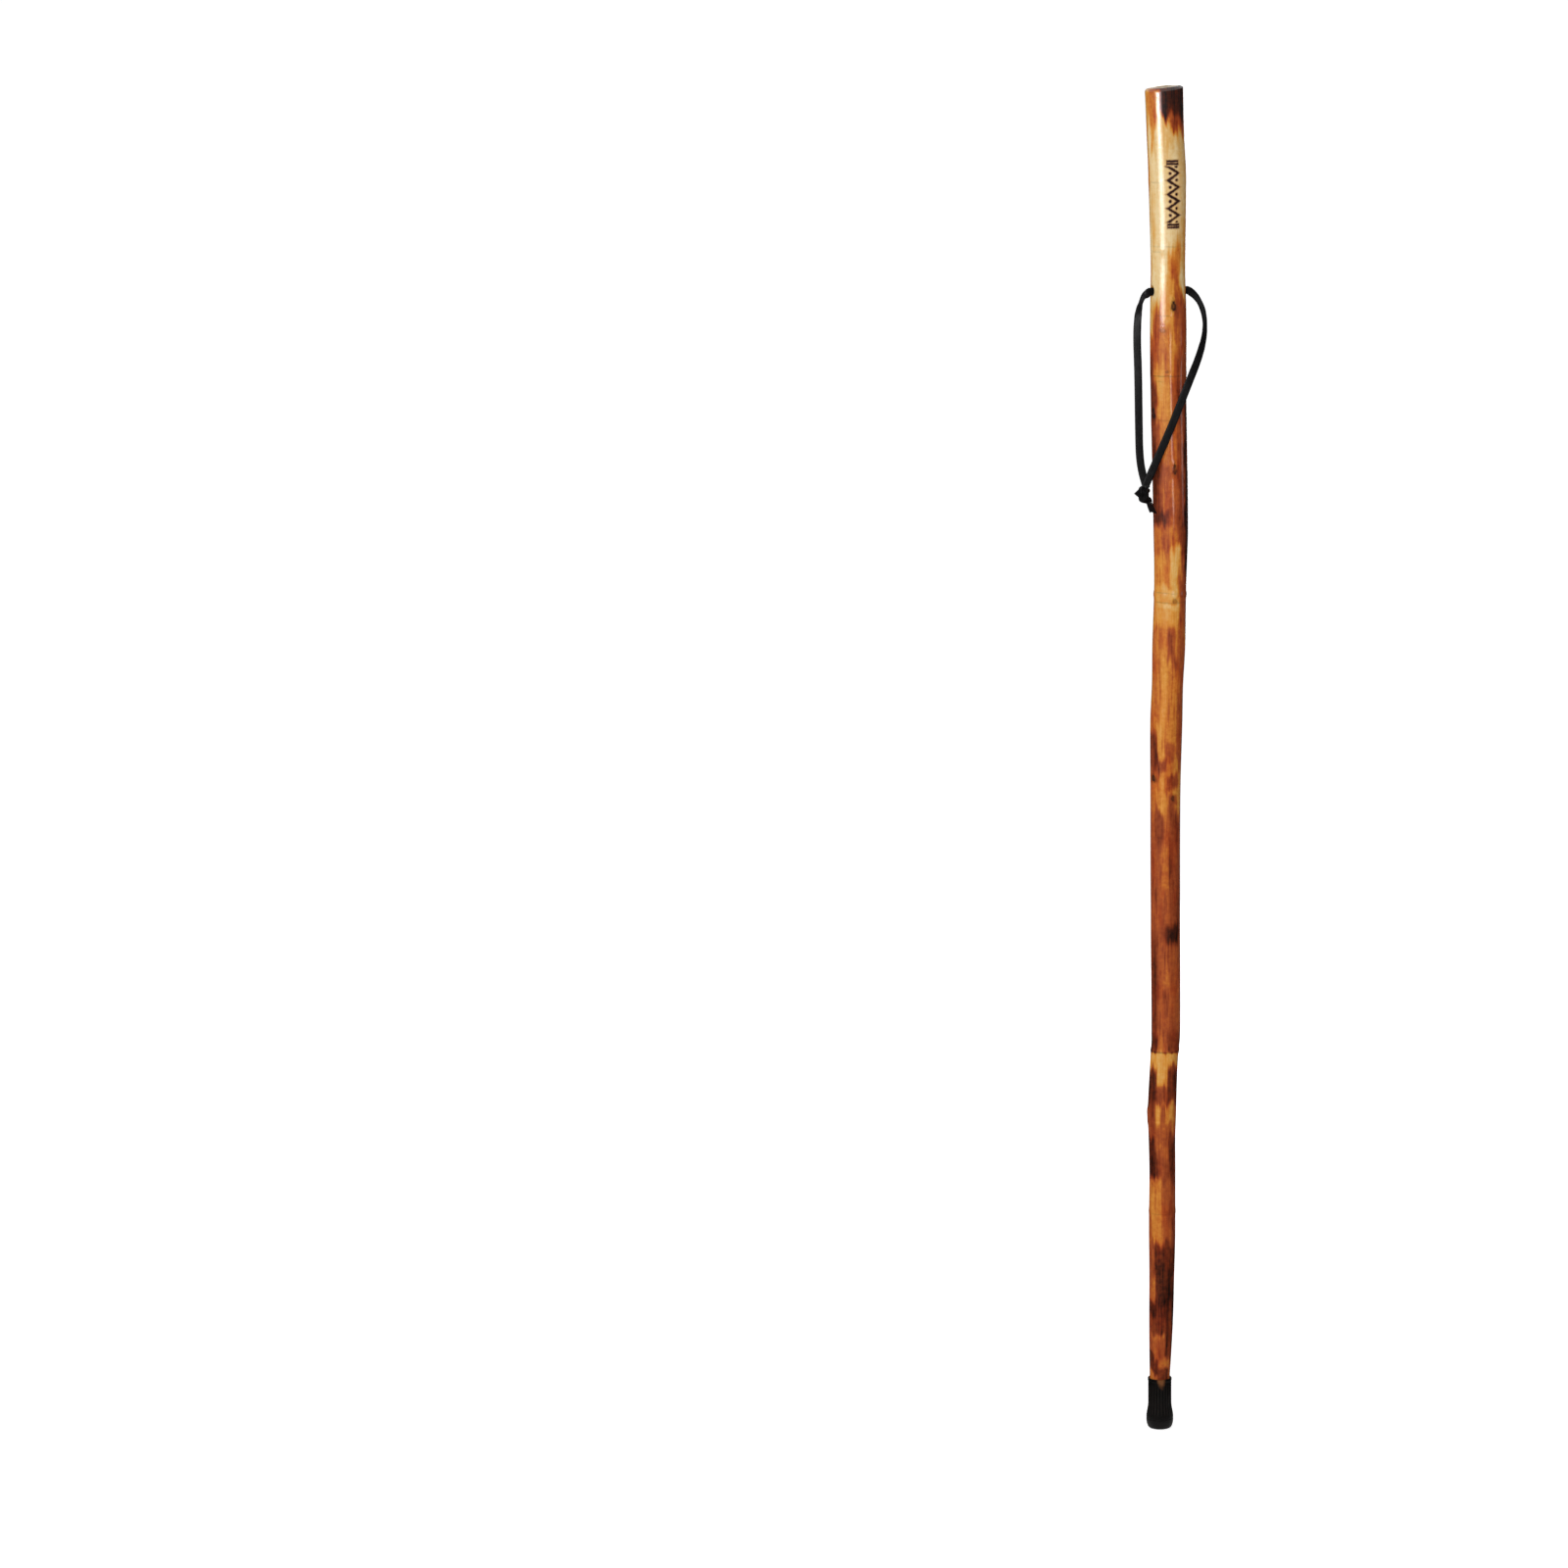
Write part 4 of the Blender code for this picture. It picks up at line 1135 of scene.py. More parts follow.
    def paint(self, shaft: bpy.types.Object) -> None:
        """Writes the flame's heat, the dark marks, the raw cuts and the border's ruler on the skin, with
        painted shade on the bore's walls.

        Args:
            shaft: The skin.
        """
        mesh = shaft.data
        points = np.empty(len(mesh.vertices) * 3)
        mesh.vertices.foreach_get("co", points)
        points = points.reshape(-1, 3)
        z = points[:, 2]
        off = points - self.centre(z)
        angle = np.arctan2(off[:, 0], -off[:, 1])
        radius = self.radius(z)
        tongues = grain_noise(points, 0.0042, 0.075, 11.0) + 0.6 * grain_noise(points, 0.0019, 0.045, 7.0)
        wander = grain_noise(points, 0.012, 0.022, 5.0)
        swirled = angle + math.radians(15) * grain_noise(points, 0.009, 0.055, 61.0)
        drifted = z + 0.003 * grain_noise(points, 0.010, 0.050, 59.0)
        heat = np.full(len(z), CREAM.value)
        for patch in (*self.scorches, *self.rear_scorches()):
            share = self.patch_share(patch, drifted, swirled, tongues, wander)
            heat += (patch.heat.value - heat) * share * patch.cover
        heat += 0.07 * grain_noise(points, 0.006, 0.030, 17.0) + 0.05 * tongues
        mark = self.marks(points, z, angle, radius)
        inside = np.hypot(off[:, 0], off[:, 1])
        near_top = z > self.bore_below_top - self.top_slant - self.top_edge_radius
        cut = near_top * step_up(self.top_edge_radius * 0.55, self.top_edge_radius, radius - inside)
        # Painted shade: the bore's inner walls are taken to a brown heat so that the hole reads dark.
        bore_shade = step_up(0.0012, 0.0022, radius - inside) * (np.abs(z) < 0.012)
        heat = heat + (BROWN.value - heat) * bore_shade
        self.write(mesh, "burn_and_shade", np.column_stack([heat, mark, cut]))
        turn = (angle - self.border_turn + np.pi) % (2 * np.pi) - np.pi
        near = (np.abs(turn) * radius < 0.016) & (np.abs(z - 0.089) < 0.050)
        ruler = [turn * radius / MM, (self.border_top - z) / MM, near.astype(float)]
        self.write(mesh, "border", np.column_stack(ruler))

    def patch_share(
        self, patch: Scorch, z: np.ndarray, angle: np.ndarray, tongues: np.ndarray, wander: np.ndarray
    ) -> np.ndarray:
        """How much of a patch shows at each place, with tongues at its ends.

        Args:
            patch: The patch.
            z: Heights in metres.
            angle: Angles from the front, in radians.
            tongues: Noise drawn out along the grain.
            wander: Rounder noise, for its sides.

        Returns:
            Shares from 0 to 1.
        """
        height = z / MM + tongues * patch.flare * 1.6
        middle, half = (patch.left + patch.right) / 2, (patch.right - patch.left) / 2
        away = np.abs((np.degrees(angle) - middle + 180) % 360 - 180)
        soft = patch.soft * 1.5
        away = away + (wander * 0.7 + tongues * 0.6) * soft
        fade = patch.flare * 0.9
        share = step_up(patch.bottom - fade, patch.bottom + fade, height)
        share *= 1 - step_up(patch.top - fade, patch.top + fade, height)
        return share * (1 - step_up(half - soft / 2, half + soft / 2, away))

    def rear_scorches(self) -> list[Scorch]:
        """Patches for the side that the viewer doesn't see, in the same manner as the front.

        Returns:
            The patches.
        """
        state = np.random.default_rng(29)
        tones = [AMBER, TOFFEE, RUSSET, CHESTNUT, BROWN, GOLD]
        made = []
        top = 196.0
        while top > -1030:
            tall = state.uniform(36, 96)
            lower = 0.0 if top > -40 else 1.0
            if lower or state.random() < 0.55:
                weights = np.array([3, 3, 3 * lower + 1, 3 * lower, 1.5 * lower, 1.5])
                tone = tones[int(state.choice(6, p=weights / weights.sum()))]
                middle, half = state.uniform(130, 230), state.uniform(26, 70)
                cover, flare = state.uniform(0.6, 0.95), state.uniform(10, 24)
                sides = (middle - half, middle + half)
                made.append(Scorch(top, top - tall, *sides, tone, flare, 16, cover))
            top -= tall * state.uniform(0.3, 0.6)
        made.append(Scorch(192, 152, 110, 175, CHAR, 14, 16, 0.9))
        made.append(Scorch(-717, -746, 100, 260, GOLD, 3, 14))
        made.append(Scorch(-926, -986, 100, 260, CHAR, 16, 14, 0.8))
        return made

    def marks(self, points: np.ndarray, z: np.ndarray, angle: np.ndarray, radius: np.ndarray) -> np.ndarray:
        """Dark twig knots and fine seams.

        Args:
            points: Places on the skin.
            z: Their heights.
            angle: Their angles from the front.
            radius: The shaft's mean radius there.

        Returns:
            Darkness from 0 to 1.
        """
        mark = np.zeros_like(z)
        ragged = grain_noise(points, 0.0016, 0.0030, 23.0)
        for knot in self.knots:
            away = self.from_knot(knot, z, angle, radius) + 0.20 * ragged
            eye = knot.dark * (1 - step_up(0.85, 1.15, away)) * (0.72 + 0.28 * step_up(0.2, 0.7, away))
            mark = np.maximum(mark, eye)
            flame = np.abs((away - 1.0) * 2.0) + 0.9 * ragged
            ring = knot.dark * knot.depth * 0.8 * np.exp(-1.2 * flame**2)
            mark = np.maximum(mark, ring)
        wobble = grain_noise(points * np.array([1, 1, 0.1]), 0.0075, 0.050, 31.0)
        breaks = 0.62 + 0.75 * grain_noise(points * np.array([1, 1, 0.1]), 0.0030, 0.050, 43.0)
        span = np.degrees(angle)
        for seam in self.seams:
            line = z / MM - seam.height - seam.jag * wobble
            ends = step_up(seam.left - 6, seam.left + 6, span)
            ends = ends * (1 - step_up(seam.right - 6, seam.right + 6, span))
            if seam.right - seam.left >= 360:
                ends = np.ones_like(z)
            thread = np.exp(-((line / 0.5) ** 2)) * np.clip(breaks + 0.4 * seam.dark, 0, 1)
            mark = np.maximum(mark, seam.dark * ends * thread)
        return mark

    def write(self, mesh: bpy.types.Mesh, name: str, values: np.ndarray) -> None:
        """Keeps a vector for each vertex of a mesh under a name."""
        kept = mesh.attributes.new(name, "FLOAT_VECTOR", "POINT")
        kept.data.foreach_set("vector", values.astype(np.float32).ravel())

    def dress(self, shaft: bpy.types.Object) -> None:
        """Gives the skin its finish and its place in the model.

        Args:
            shaft: The skin.
        """
        shaft.data.materials.append(ScorchedSapling().make())
        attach(shaft, "shaft")
        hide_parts("shaft")


# The lace


class Side(Enum):
    """The two sides of the shaft that the lace leaves it on."""

    LEFT = -1
    RIGHT = 1


@dataclass
class WristLace:
    """One flat leather lace through the bore, its ends tied together in an overhand knot."""

    shaft: SaplingShaft
    width: float = 0.0072
    thickness: float = 0.0018
    corner: float = 0.00055
    step: float = 0.0011
    clearance: float = 0.0003
    proud: float = 0.0006
    straight: float = 0.0016
    knot_gap: float = 0.0005
    strand_width: float = 0.0047
    short_cut: float = -0.0004
    long_cut: float = 0.0028
    lead_in: float = 0.006  # how far into the knot a leg keeps its facing
    gather: float = 0.007  # how far into the knot it draws in to its strand's width
    lines: dict[Side, list[Vector]] = field(default_factory=dict)

    knot_centre = Vector((-21.4, -16.0, -186.5)) * MM
    knot_scale = Vector((1.6, 2.2, 2.2)) * MM
    left_route = (
        ((-19.1, -6.9, -2.4), (0.0, 0.1, 1.0)), ((-22.7, -7.5, -5.4), (-0.2, 0.8, 0.6)),
        ((-25.0, -8.0, -10.6), (-0.4, 0.9, 0.1)), ((-26.5, -8.5, -16.2), (-0.7, 0.7, 0.0)),
        ((-27.6, -9.2, -23.5), (-0.9, 0.4, 0.0)), ((-28.3, -10.0, -36.0), (-1.0, 0.2, 0.0)),
        ((-28.3, -10.6, -50.0), (-1.0, 0.1, 0.0)), ((-27.8, -11.1, -65.0), (-1.0, 0.1, 0.0)),
        ((-27.4, -11.8, -82.0), (-1.0, 0.1, 0.0)), ((-27.1, -12.8, -104.0), (-1.0, 0.0, 0.0)),
        ((-26.8, -13.8, -126.0), (-1.0, 0.0, 0.0)), ((-26.4, -14.7, -144.0), (-1.0, 0.0, 0.0)),
        ((-25.4, -15.4, -157.0), (-1.0, 0.0, 0.0)), ((-23.4, -15.9, -168.0), (-1.0, 0.0, 0.0)),
    )  # fmt: skip
    right_route = (
        ((20.6, 6.9, -2.6), (0.0, 0.1, 1.0)), ((25.0, 7.1, -6.6), (0.3, 0.6, 0.7)),
        ((28.8, 6.6, -12.2), (0.5, 0.8, 0.2)), ((31.4, 5.4, -18.2), (0.6, 0.8, 0.0)),
        ((33.0, 3.2, -25.0), (0.5, 0.9, 0.0)), ((33.6, 0.0, -32.0), (0.4, 0.9, 0.0)),
        ((33.3, -3.8, -38.8), (0.5, 0.9, 0.0)), ((32.2, -7.2, -45.4), (0.6, 0.8, 0.0)),
        ((30.0, -10.6, -53.8), (0.8, 0.6, 0.0)), ((26.6, -13.9, -63.8), (0.9, 0.4, 0.0)),
        ((22.4, -16.2, -74.4), (1.0, 0.2, 0.0)), ((16.4, -17.6, -89.5), (1.0, 0.0, 0.0)),
        ((10.6, -17.9, -104.5), (1.0, 0.0, 0.0)), ((3.4, -18.0, -122.5), (1.0, 0.0, 0.0)),
        ((-4.0, -18.0, -140.0), (1.0, 0.0, 0.0)), ((-10.8, -18.0, -155.5), (1.0, 0.0, 0.0)),
        ((-16.2, -18.1, -168.0), (1.0, 0.0, 0.0)),
    )  # fmt: skip
    short_tail = (
        ((-18.4, -15.0, -193.4), (0.7, 0.0, 0.7)), ((-18.8, -12.6, -193.0), (0.7, 0.0, 0.7)),
        ((-20.2, -11.1, -191.8), (0.7, 0.0, 0.7)), ((-21.8, -10.6, -190.4), (0.7, 0.0, 0.7)),
        ((-25.2, -10.6, -187.4), (0.7, 0.0, 0.7)), ((-28.6, -11.6, -184.3), (0.7, 0.1, 0.7)),
    )  # fmt: skip
    long_tail = (
        ((-19.6, -13.6, -189.0), (0.6, 0.7, 0.0)), ((-18.2, -15.2, -192.2), (0.6, 0.7, 0.0)),
        ((-17.1, -16.2, -195.2), (0.6, 0.7, 0.0)), ((-16.0, -16.7, -198.4), (0.6, 0.7, 0.0)),
        ((-14.9, -17.0, -201.2), (0.6, 0.7, 0.1)), ((-14.2, -17.1, -203.0), (0.6, 0.7, 0.1)),
    )  # fmt: skip
    knot_line = (
        (0.6, 0.8, 3.7), (0.9, 1.1, 2.5), (1.3, 1.1, 1.2), (-0.5, 0.2, 0.9), (-2.0, -1.0, -1.0),
        (-1.6, 0.0, -2.6), (0.1, 1.0, -2.2), (1.1, 0.0, 0.0), (0.1, -1.0, 2.2), (-1.6, 0.0, 2.6),
        (-2.0, 1.0, 1.0), (-0.5, 0.0, -0.9),
    )  # fmt: skip

    def mouth(self, side: Side, beyond: float) -> Vector:
        """A place on the lace's line, this far beyond the shaft's side."""
        turn = self.shaft.bore_turn
        axis = Vector((math.cos(turn), math.sin(turn), 0)) * side.value
        half = self.shaft.bore_diameter / 2 - self.clearance
        drop = math.sqrt(half**2 - (self.thickness / 2) ** 2) - self.width / 2
        return axis * (self.shaft.radius(np.zeros(1))[0] + beyond) - Vector((0, 0, drop))

    def knot_place(self, row: Sequence[float]) -> Vector:
        """A place in the world from the knot's own right, viewer and up units."""
        scale = self.knot_scale
        return self.knot_centre + Vector((row[0] * scale.x, -row[1] * scale.y, row[2] * scale.z))

    def strap(
        self,
        name: str,
        places: Sequence[Vector],
        facings: Sequence[Vector],
        along: Sequence[Vector],
        widths: Sequence[float],
        cut: float = 0.0,
    ) -> bpy.types.Object:
        """A stretch of flat lace with eased corners.

        Args:
            name: The object's name.
            places: Its centre line.
            facings: The way its width faces at each place.
            along: Its direction at each place.
            widths: Its width at each place.
            cut: How far its last end is slanted, for a trimmed end.

        Returns:
            The strap, with its cut edges marked.
        """
        outline = self.outline()
        rings = []
        for i, (place, facing, t, wide) in enumerate(zip(places, facings, along, widths)):
            across = (facing - t * facing.dot(t)).normalized()
            outward = t.cross(across)
            slant = cut if i == len(places) - 1 else 0.0
            thick = self.thickness * (self.width / wide) ** 0.35
            wavy = 1 + 0.018 * noise.noise(place * 160)
            ring = []
            for u, v, _ in outline:
                point = place + across * u * wide * wavy / 2 + outward * v * thick / 2 + t * slant * u
                ring.append(list(point))
            rings.append(ring)
        strap = skin(name, np.array(rings), places[0], places[-1])
        edge = [e for _ in rings for _, _, e in outline] + [1.0, 1.0]
        kept = strap.data.attributes.new("edge", "FLOAT", "POINT")
        kept.data.foreach_set("value", edge)
        strap.data.set_sharp_from_angle(angle=math.radians(50))
        return strap

    def outline(self) -> list[tuple[float, float, float]]:
        """The lace's section, with crowned faces and eased corners.

        Returns:
            Points with their share of half the width, of half the thickness, and of cut edge.
        """
        side = 1 - 2 * self.corner / self.width
        high = 1 - 2 * self.corner / self.thickness
        face = [(side * k / 3, 1.0 - 0.10 * abs(k / 3) ** 3, 0.0) for k in (3, 2, 1, 0, -1, -2, -3)]
        turn = [(-(side + (1 - side) * 0.72), high + (1 - high) * 0.55, 0.7), (-1.0, high * 0.8, 1.0)]
        half = face + turn + [(-1.0, 0.0, 1.0)]
        half += [(-1.0, -high * 0.8, 1.0), (-(side + (1 - side) * 0.72), -high - (1 - high) * 0.55, 0.7)]
        other = [(-u, -v, e) for u, v, e in half]
        return half + other

    def follow(self, route: Sequence[tuple[Vector, Vector]]) -> tuple[list[Vector], list[Vector]]:
        """Places along a route and the facing at each.

        Args:
            route: The route's places and facings.

        Returns:
            The places and the facings.
        """
        marks = [p for p, _ in route]
        turns = [f.normalized() for _, f in route]
        places = catmull(marks, self.step)
        facings, i = [], 0
        for p in places:
            while i < len(marks) - 2 and (p - marks[i + 1]).dot(marks[i + 1] - marks[i]) > 0:
                i += 1
            run = marks[i + 1] - marks[i]
            t = min(max((p - marks[i]).dot(run) / run.length_squared, 0.0), 1.0)
            t = t * t * (3 - 2 * t)
            facings.append(turns[i].lerp(turns[i + 1], t).normalized())
        return places, facings

    def build_in_bore(self) -> bpy.types.Object:
        """The stretch inside the shaft.

        Returns:
            The strap.
        """
        upright = Vector((0, 0, 1))
        ends = [self.mouth(side, self.proud + self.clearance) for side in (Side.LEFT, Side.RIGHT)]
        places = catmull(ends, self.step * 2)
        facings, widths = [upright] * len(places), [self.width] * len(places)
        return self.strap("lace_through_bore", places, facings, tangents(places), widths)

    def build_leg(self, side: Side) -> tuple[bpy.types.Object, list[Vector]]:
        """One leg, from its mouth to the knot.

        Args:
            side: The leg's side.

        Returns:
            The strap and its centre line.
        """
        upright = Vector((0, 0, 1))
        rows = self.left_route if side is Side.LEFT else self.right_route
        start = self.proud + self.clearance
        route = [(self.mouth(side, b), upright) for b in (start, start + self.straight)]
        route += [(Vector(p) * MM, Vector(f)) for p, f in rows]
        entry, inward, stack = self.entry()
        route.append((entry - inward * self.knot_gap + stack * side.value, route[-1][1]))
        places, facings = self.follow(route)
        along = tangents(places)
        turn = self.shaft.bore_turn
        along[0] = Vector((math.cos(turn), math.sin(turn), 0)) * side.value
        along[-1] = inward
        name = f"lace_{side.name.lower()}_strap"
        return self.strap(name, places, facings, along, [self.width] * len(places)), places

    def entry(self) -> tuple[Vector, Vector, Vector]:
        """Where the legs enter the knot.

        Returns:
            The place, the direction in, and half the step between the two stacked legs.
        """
        entry, below = (self.knot_place(row) for row in self.knot_line[:2])
        inward = (below - entry).normalized()
        stack = inward.cross(Vector((1, 0, 0))).normalized() * (self.thickness + self.clearance) / 2
        return entry, inward, stack

    def build_strand(self, side: Side) -> bpy.types.Object:
        """One half of the lace on its way through the knot and out to its trimmed end.

        Args:
            side: The leg that the strand comes from.

        Returns:
            The strap.
        """
        short = side is Side.LEFT
        rows = self.short_tail if short else self.long_tail
        entry, inward, stack = self.entry()
        knot = [self.knot_place(row) for row in self.knot_line]
        knot[0] = entry - inward * self.knot_gap
        marks = knot + [Vector(p) * MM for p, _ in rows[0 if short else 1 :]]
        places = catmull(marks, self.step * 0.6)
        along = tangents(places)
        along[0] = inward
        reach = [0.0]
        for p, q in zip(places, places[1:]):
            reach.append(reach[-1] + (q - p).length)
        facings = self.wrap(places, along)
        tail = Vector(rows[1][0]) * MM
        start = min(range(len(places)), key=lambda i: (places[i] - tail).length)
        final = [Vector(f).normalized() for _, f in rows]
        for i in range(len(places)):
            lead = step_up(0, 1, 1 - reach[i] / self.lead_in)
            facings[i] = facings[i].lerp(Vector((1, 0, 0)), lead).normalized()
            want = final[1] if i < start + 8 else final[-1]
            if facings[i].dot(want) < 0:
                want = -want
            facings[i] = facings[i].lerp(want, step_up(start - 6, start + 4, i)).normalized()
        offset = []
        for i, (place, t) in enumerate(zip(places, along)):
            across = (facings[i] - t * facings[i].dot(t)).normalized()
            outward = t.cross(across)
            if i == 0:
                sign = 1.0 if outward.dot(stack) > 0 else -1.0
            keep = 1 - min(max((i - start + 8) / 8, 0.0), 1.0)
            offset.append(place + outward * sign * side.value * stack.length * 0.9 * keep)
        widths = []
        for i in range(len(places)):
            tight = step_up(0, 1, min(reach[i] / self.gather, (start - i) / 10))
            widths.append(self.width + (self.strand_width - self.width) * tight)
        cut = self.short_cut if short else self.long_cut
        if facings[-1].dot(final[-1]) < 0:
            cut = -cut
        name = "lace_knot_left_strand" if short else "lace_knot_right_strand"
        return self.strap(name, offset, facings, along, widths, cut)

    def wrap(self, places: Sequence[Vector], along: Sequence[Vector]) -> list[Vector]:
        """Facings that lay the lace flat on the knot's outside.

        Args:
            places: The strand's centre line.
            along: Its directions.

        Returns:
            The facings.
        """
        raw = []
        for place, t in zip(places, along):
            out = place - self.knot_centre
            out = Vector((out.x / self.knot_scale.x, out.y / self.knot_scale.y, out.z / self.knot_scale.z))
            facing = t.cross(out)
            facing = facing if facing.length > 0.2 else Vector((1, 0, 0))
            if raw and facing.dot(raw[-1]) < 0:
                facing = -facing
            raw.append(facing.normalized())
        for _ in range(10):
            raw = [
                (raw[max(i - 1, 0)] + raw[i] * 2 + raw[min(i + 1, len(raw) - 1)]).normalized()
                for i in range(len(raw))
            ]
        return raw

    def build(self) -> dict[str, bpy.types.Object]:
        """Returns:
            The straps by name.
        """
        straps = {"lace_in_bore": self.build_in_bore()}
        straps["lace_left_leg"], self.lines[Side.LEFT] = self.build_leg(Side.LEFT)
        straps["lace_right_leg"], self.lines[Side.RIGHT] = self.build_leg(Side.RIGHT)
        straps["lace_short_tail"] = self.build_strand(Side.LEFT)
        straps["lace_long_tail"] = self.build_strand(Side.RIGHT)
        return straps

    def dress(self, straps: dict[str, bpy.types.Object]) -> None:
        """Gives the straps their leather and their places in the model.

        Args:
            straps: The straps by the CAD node that each stands for.
        """
        leather = DyedLeather().make()
        for node, strap in straps.items():
            strap.data.materials.append(leather)
            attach(strap, "lace")
            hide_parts(node)
        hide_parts("lace_knot")


# The rubber tip


@dataclass
class RubberTip:
    """The moulded ferrule on the shaft's foot, with the steel washer in its floor."""

    shaft: SaplingShaft
    wall: float = 0.0012
    lip: float = 0.0003
    lip_height: float = 0.0026
    flare: float = 0.0018
    flare_start: float = 0.024
    flare_end: float = 0.0385
    ring_depth: float = 0.0004
    sole_thickness: float = 0.0085
    sole_radius: float = 0.0095
    tread_width: float = 0.0012
    tread_depth: float = 0.0011
    clearance: float = 0.0003
    sides: int = 144
    ribs: int = 24
    rib_depth: float = 0.00028
    rib_fade: float = 0.0024  # the stretch under the lip over which the ribs rise
    rib_row: float = 0.0038
    lip_ease: float = 0.0004
    curve_rows: int = 14
    floor_middle: float = 0.001  # radius of the innermost ring on the floor

    def profile(self) -> list[tuple[float, float, float]]:
        """The ferrule's outline below its rim.

        Returns:
            Radii, heights, and how much of the ribs shows at each.
        """
        bore = self.shaft.shank_diameter / 2 + self.clearance
        body, high = bore + self.wall, self.shaft.tip_height
        lip = body + self.lip
        ease, nick, under = self.lip_ease, self.lip_ease / 4, -self.lip_height
        points = [(bore + self.lip, 0.0, 0.0), (lip - ease, 0.0, 0.0), (lip - nick, -nick, 0.0)]
        points += [(lip, -ease, 0.0), (lip, under + ease, 0.0), (lip - nick, under + nick, 0.0)]
        points += [(body + nick, under, 0.0), (body, under - nick * 3, 0.0)]
        points.append((body, under - self.rib_fade / 2, 0.5))
        points += [(body, under - self.rib_fade - k * self.rib_row, 1.0) for k in range(5)]
        for k in range(self.curve_rows + 1):
            t = k / self.curve_rows
            r = body + self.flare * (1 - math.cos(math.pi * t)) / 2
            rib = 1.0 if t < 0.7 else max(0.0, 1 - (t - 0.7) / 0.22)
            points.append((r, -(self.flare_start + (self.flare_end - self.flare_start) * t), rib))
        foot, ring = body + self.flare, self.flare_end + self.ring_depth
        neck = foot - self.ring_depth
        points += [(neck, -ring, 0.0), (neck, -ring - self.ring_depth, 0.0)]
        start = ring + 2 * self.ring_depth
        points.append((foot, -start, 0.0))
        for k in range(1, self.curve_rows + 1):
            a = math.pi / 2 * k / self.curve_rows
            r = self.sole_radius + (foot - self.sole_radius) * math.cos(a)
            points.append((r, -start - (high - start) * math.sin(a), 0.0))
        deep = high - self.tread_depth
        for share in (0.74, 0.4):
            outer, inner = (self.sole_radius * share + side * self.tread_width / 2 for side in (1, -1))
            points += [(r, -z, 0.0) for r, z in ((outer, high), (outer, deep), (inner, deep), (inner, high))]
        return points

    @property
    def seat(self) -> tuple[float, ...]:
        """The middle of the rim."""
        return tuple(float(v) for v in self.shaft.centre(np.array([self.shaft.tip_rim]))[0])

    def ring(self, radius: float | np.ndarray, z: float) -> np.ndarray:
        """A ring of points at one height, with one radius or one for each point."""
        angle = 2 * np.pi * np.arange(self.sides) / self.sides
        return np.column_stack([radius * np.cos(angle), radius * np.sin(angle), np.full(self.sides, z)])

    def build(self) -> bpy.types.Object:
        """Makes the ferrule.

        Returns:
            The ferrule, in its place on the foot.
        """
        bore = self.shaft.shank_diameter / 2 + self.clearance
        floor = self.sole_thickness - self.shaft.tip_height
        inside = ((self.floor_middle, floor), (bore, floor), (bore, -self.lip))
        rings = [self.ring(r, z) for r, z in inside]
        angle = 2 * np.pi * np.arange(self.sides) / self.sides
        wave = np.clip(np.cos(self.ribs * angle) * 1.6, -1, 1)
        for r, z, rib in self.profile():
            rings.append(self.ring(r - rib * self.rib_depth * (1 - wave) / 2, z))
        ferrule = skin("ferrule", np.array(rings), [0.0, 0.0, floor], [0.0, 0.0, -self.shaft.tip_height])
        ferrule.data.set_sharp_from_angle(angle=math.radians(42))
        ferrule.data.transform(Matrix.Translation(self.seat))
        return ferrule

    def dress(self, ferrule: bpy.types.Object) -> None:
        """Gives the ferrule and the washer their finishes, and the ferrule its place.

        Args:
            ferrule: The ferrule.
        """
        ferrule.data.materials.append(MouldedRubber(self.seat, self.ribs).make())
        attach(ferrule, "tip")
        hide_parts("rubber_tip")
        steel = ZincPlatedSteel().make()
        for slot in bpy.data.objects["tip_washer"].material_slots:
            slot.material = steel


# The studio


@dataclass
class Softbox:
    """A soft lamp.

    Attributes:
        name: Its name.
        turn: Degrees round from the front, positive to the right.
        reach: Distance from the staff, in metres.
        bottom: Height of its lower edge.
        top: Height of its upper edge.
        wide: Its width.
        power: Its power in watts.
        sides: Share of its width over which each side fades.
        ends: Share of its height over which its upper and lower end fade.
        mirrored: True where only the varnish shows it, False where it only lights.
    """

    name: str
    turn: float
    reach: float
    bottom: float
    top: float
    wide: float
    power: float
    sides: float
    ends: float
    mirrored: bool = True


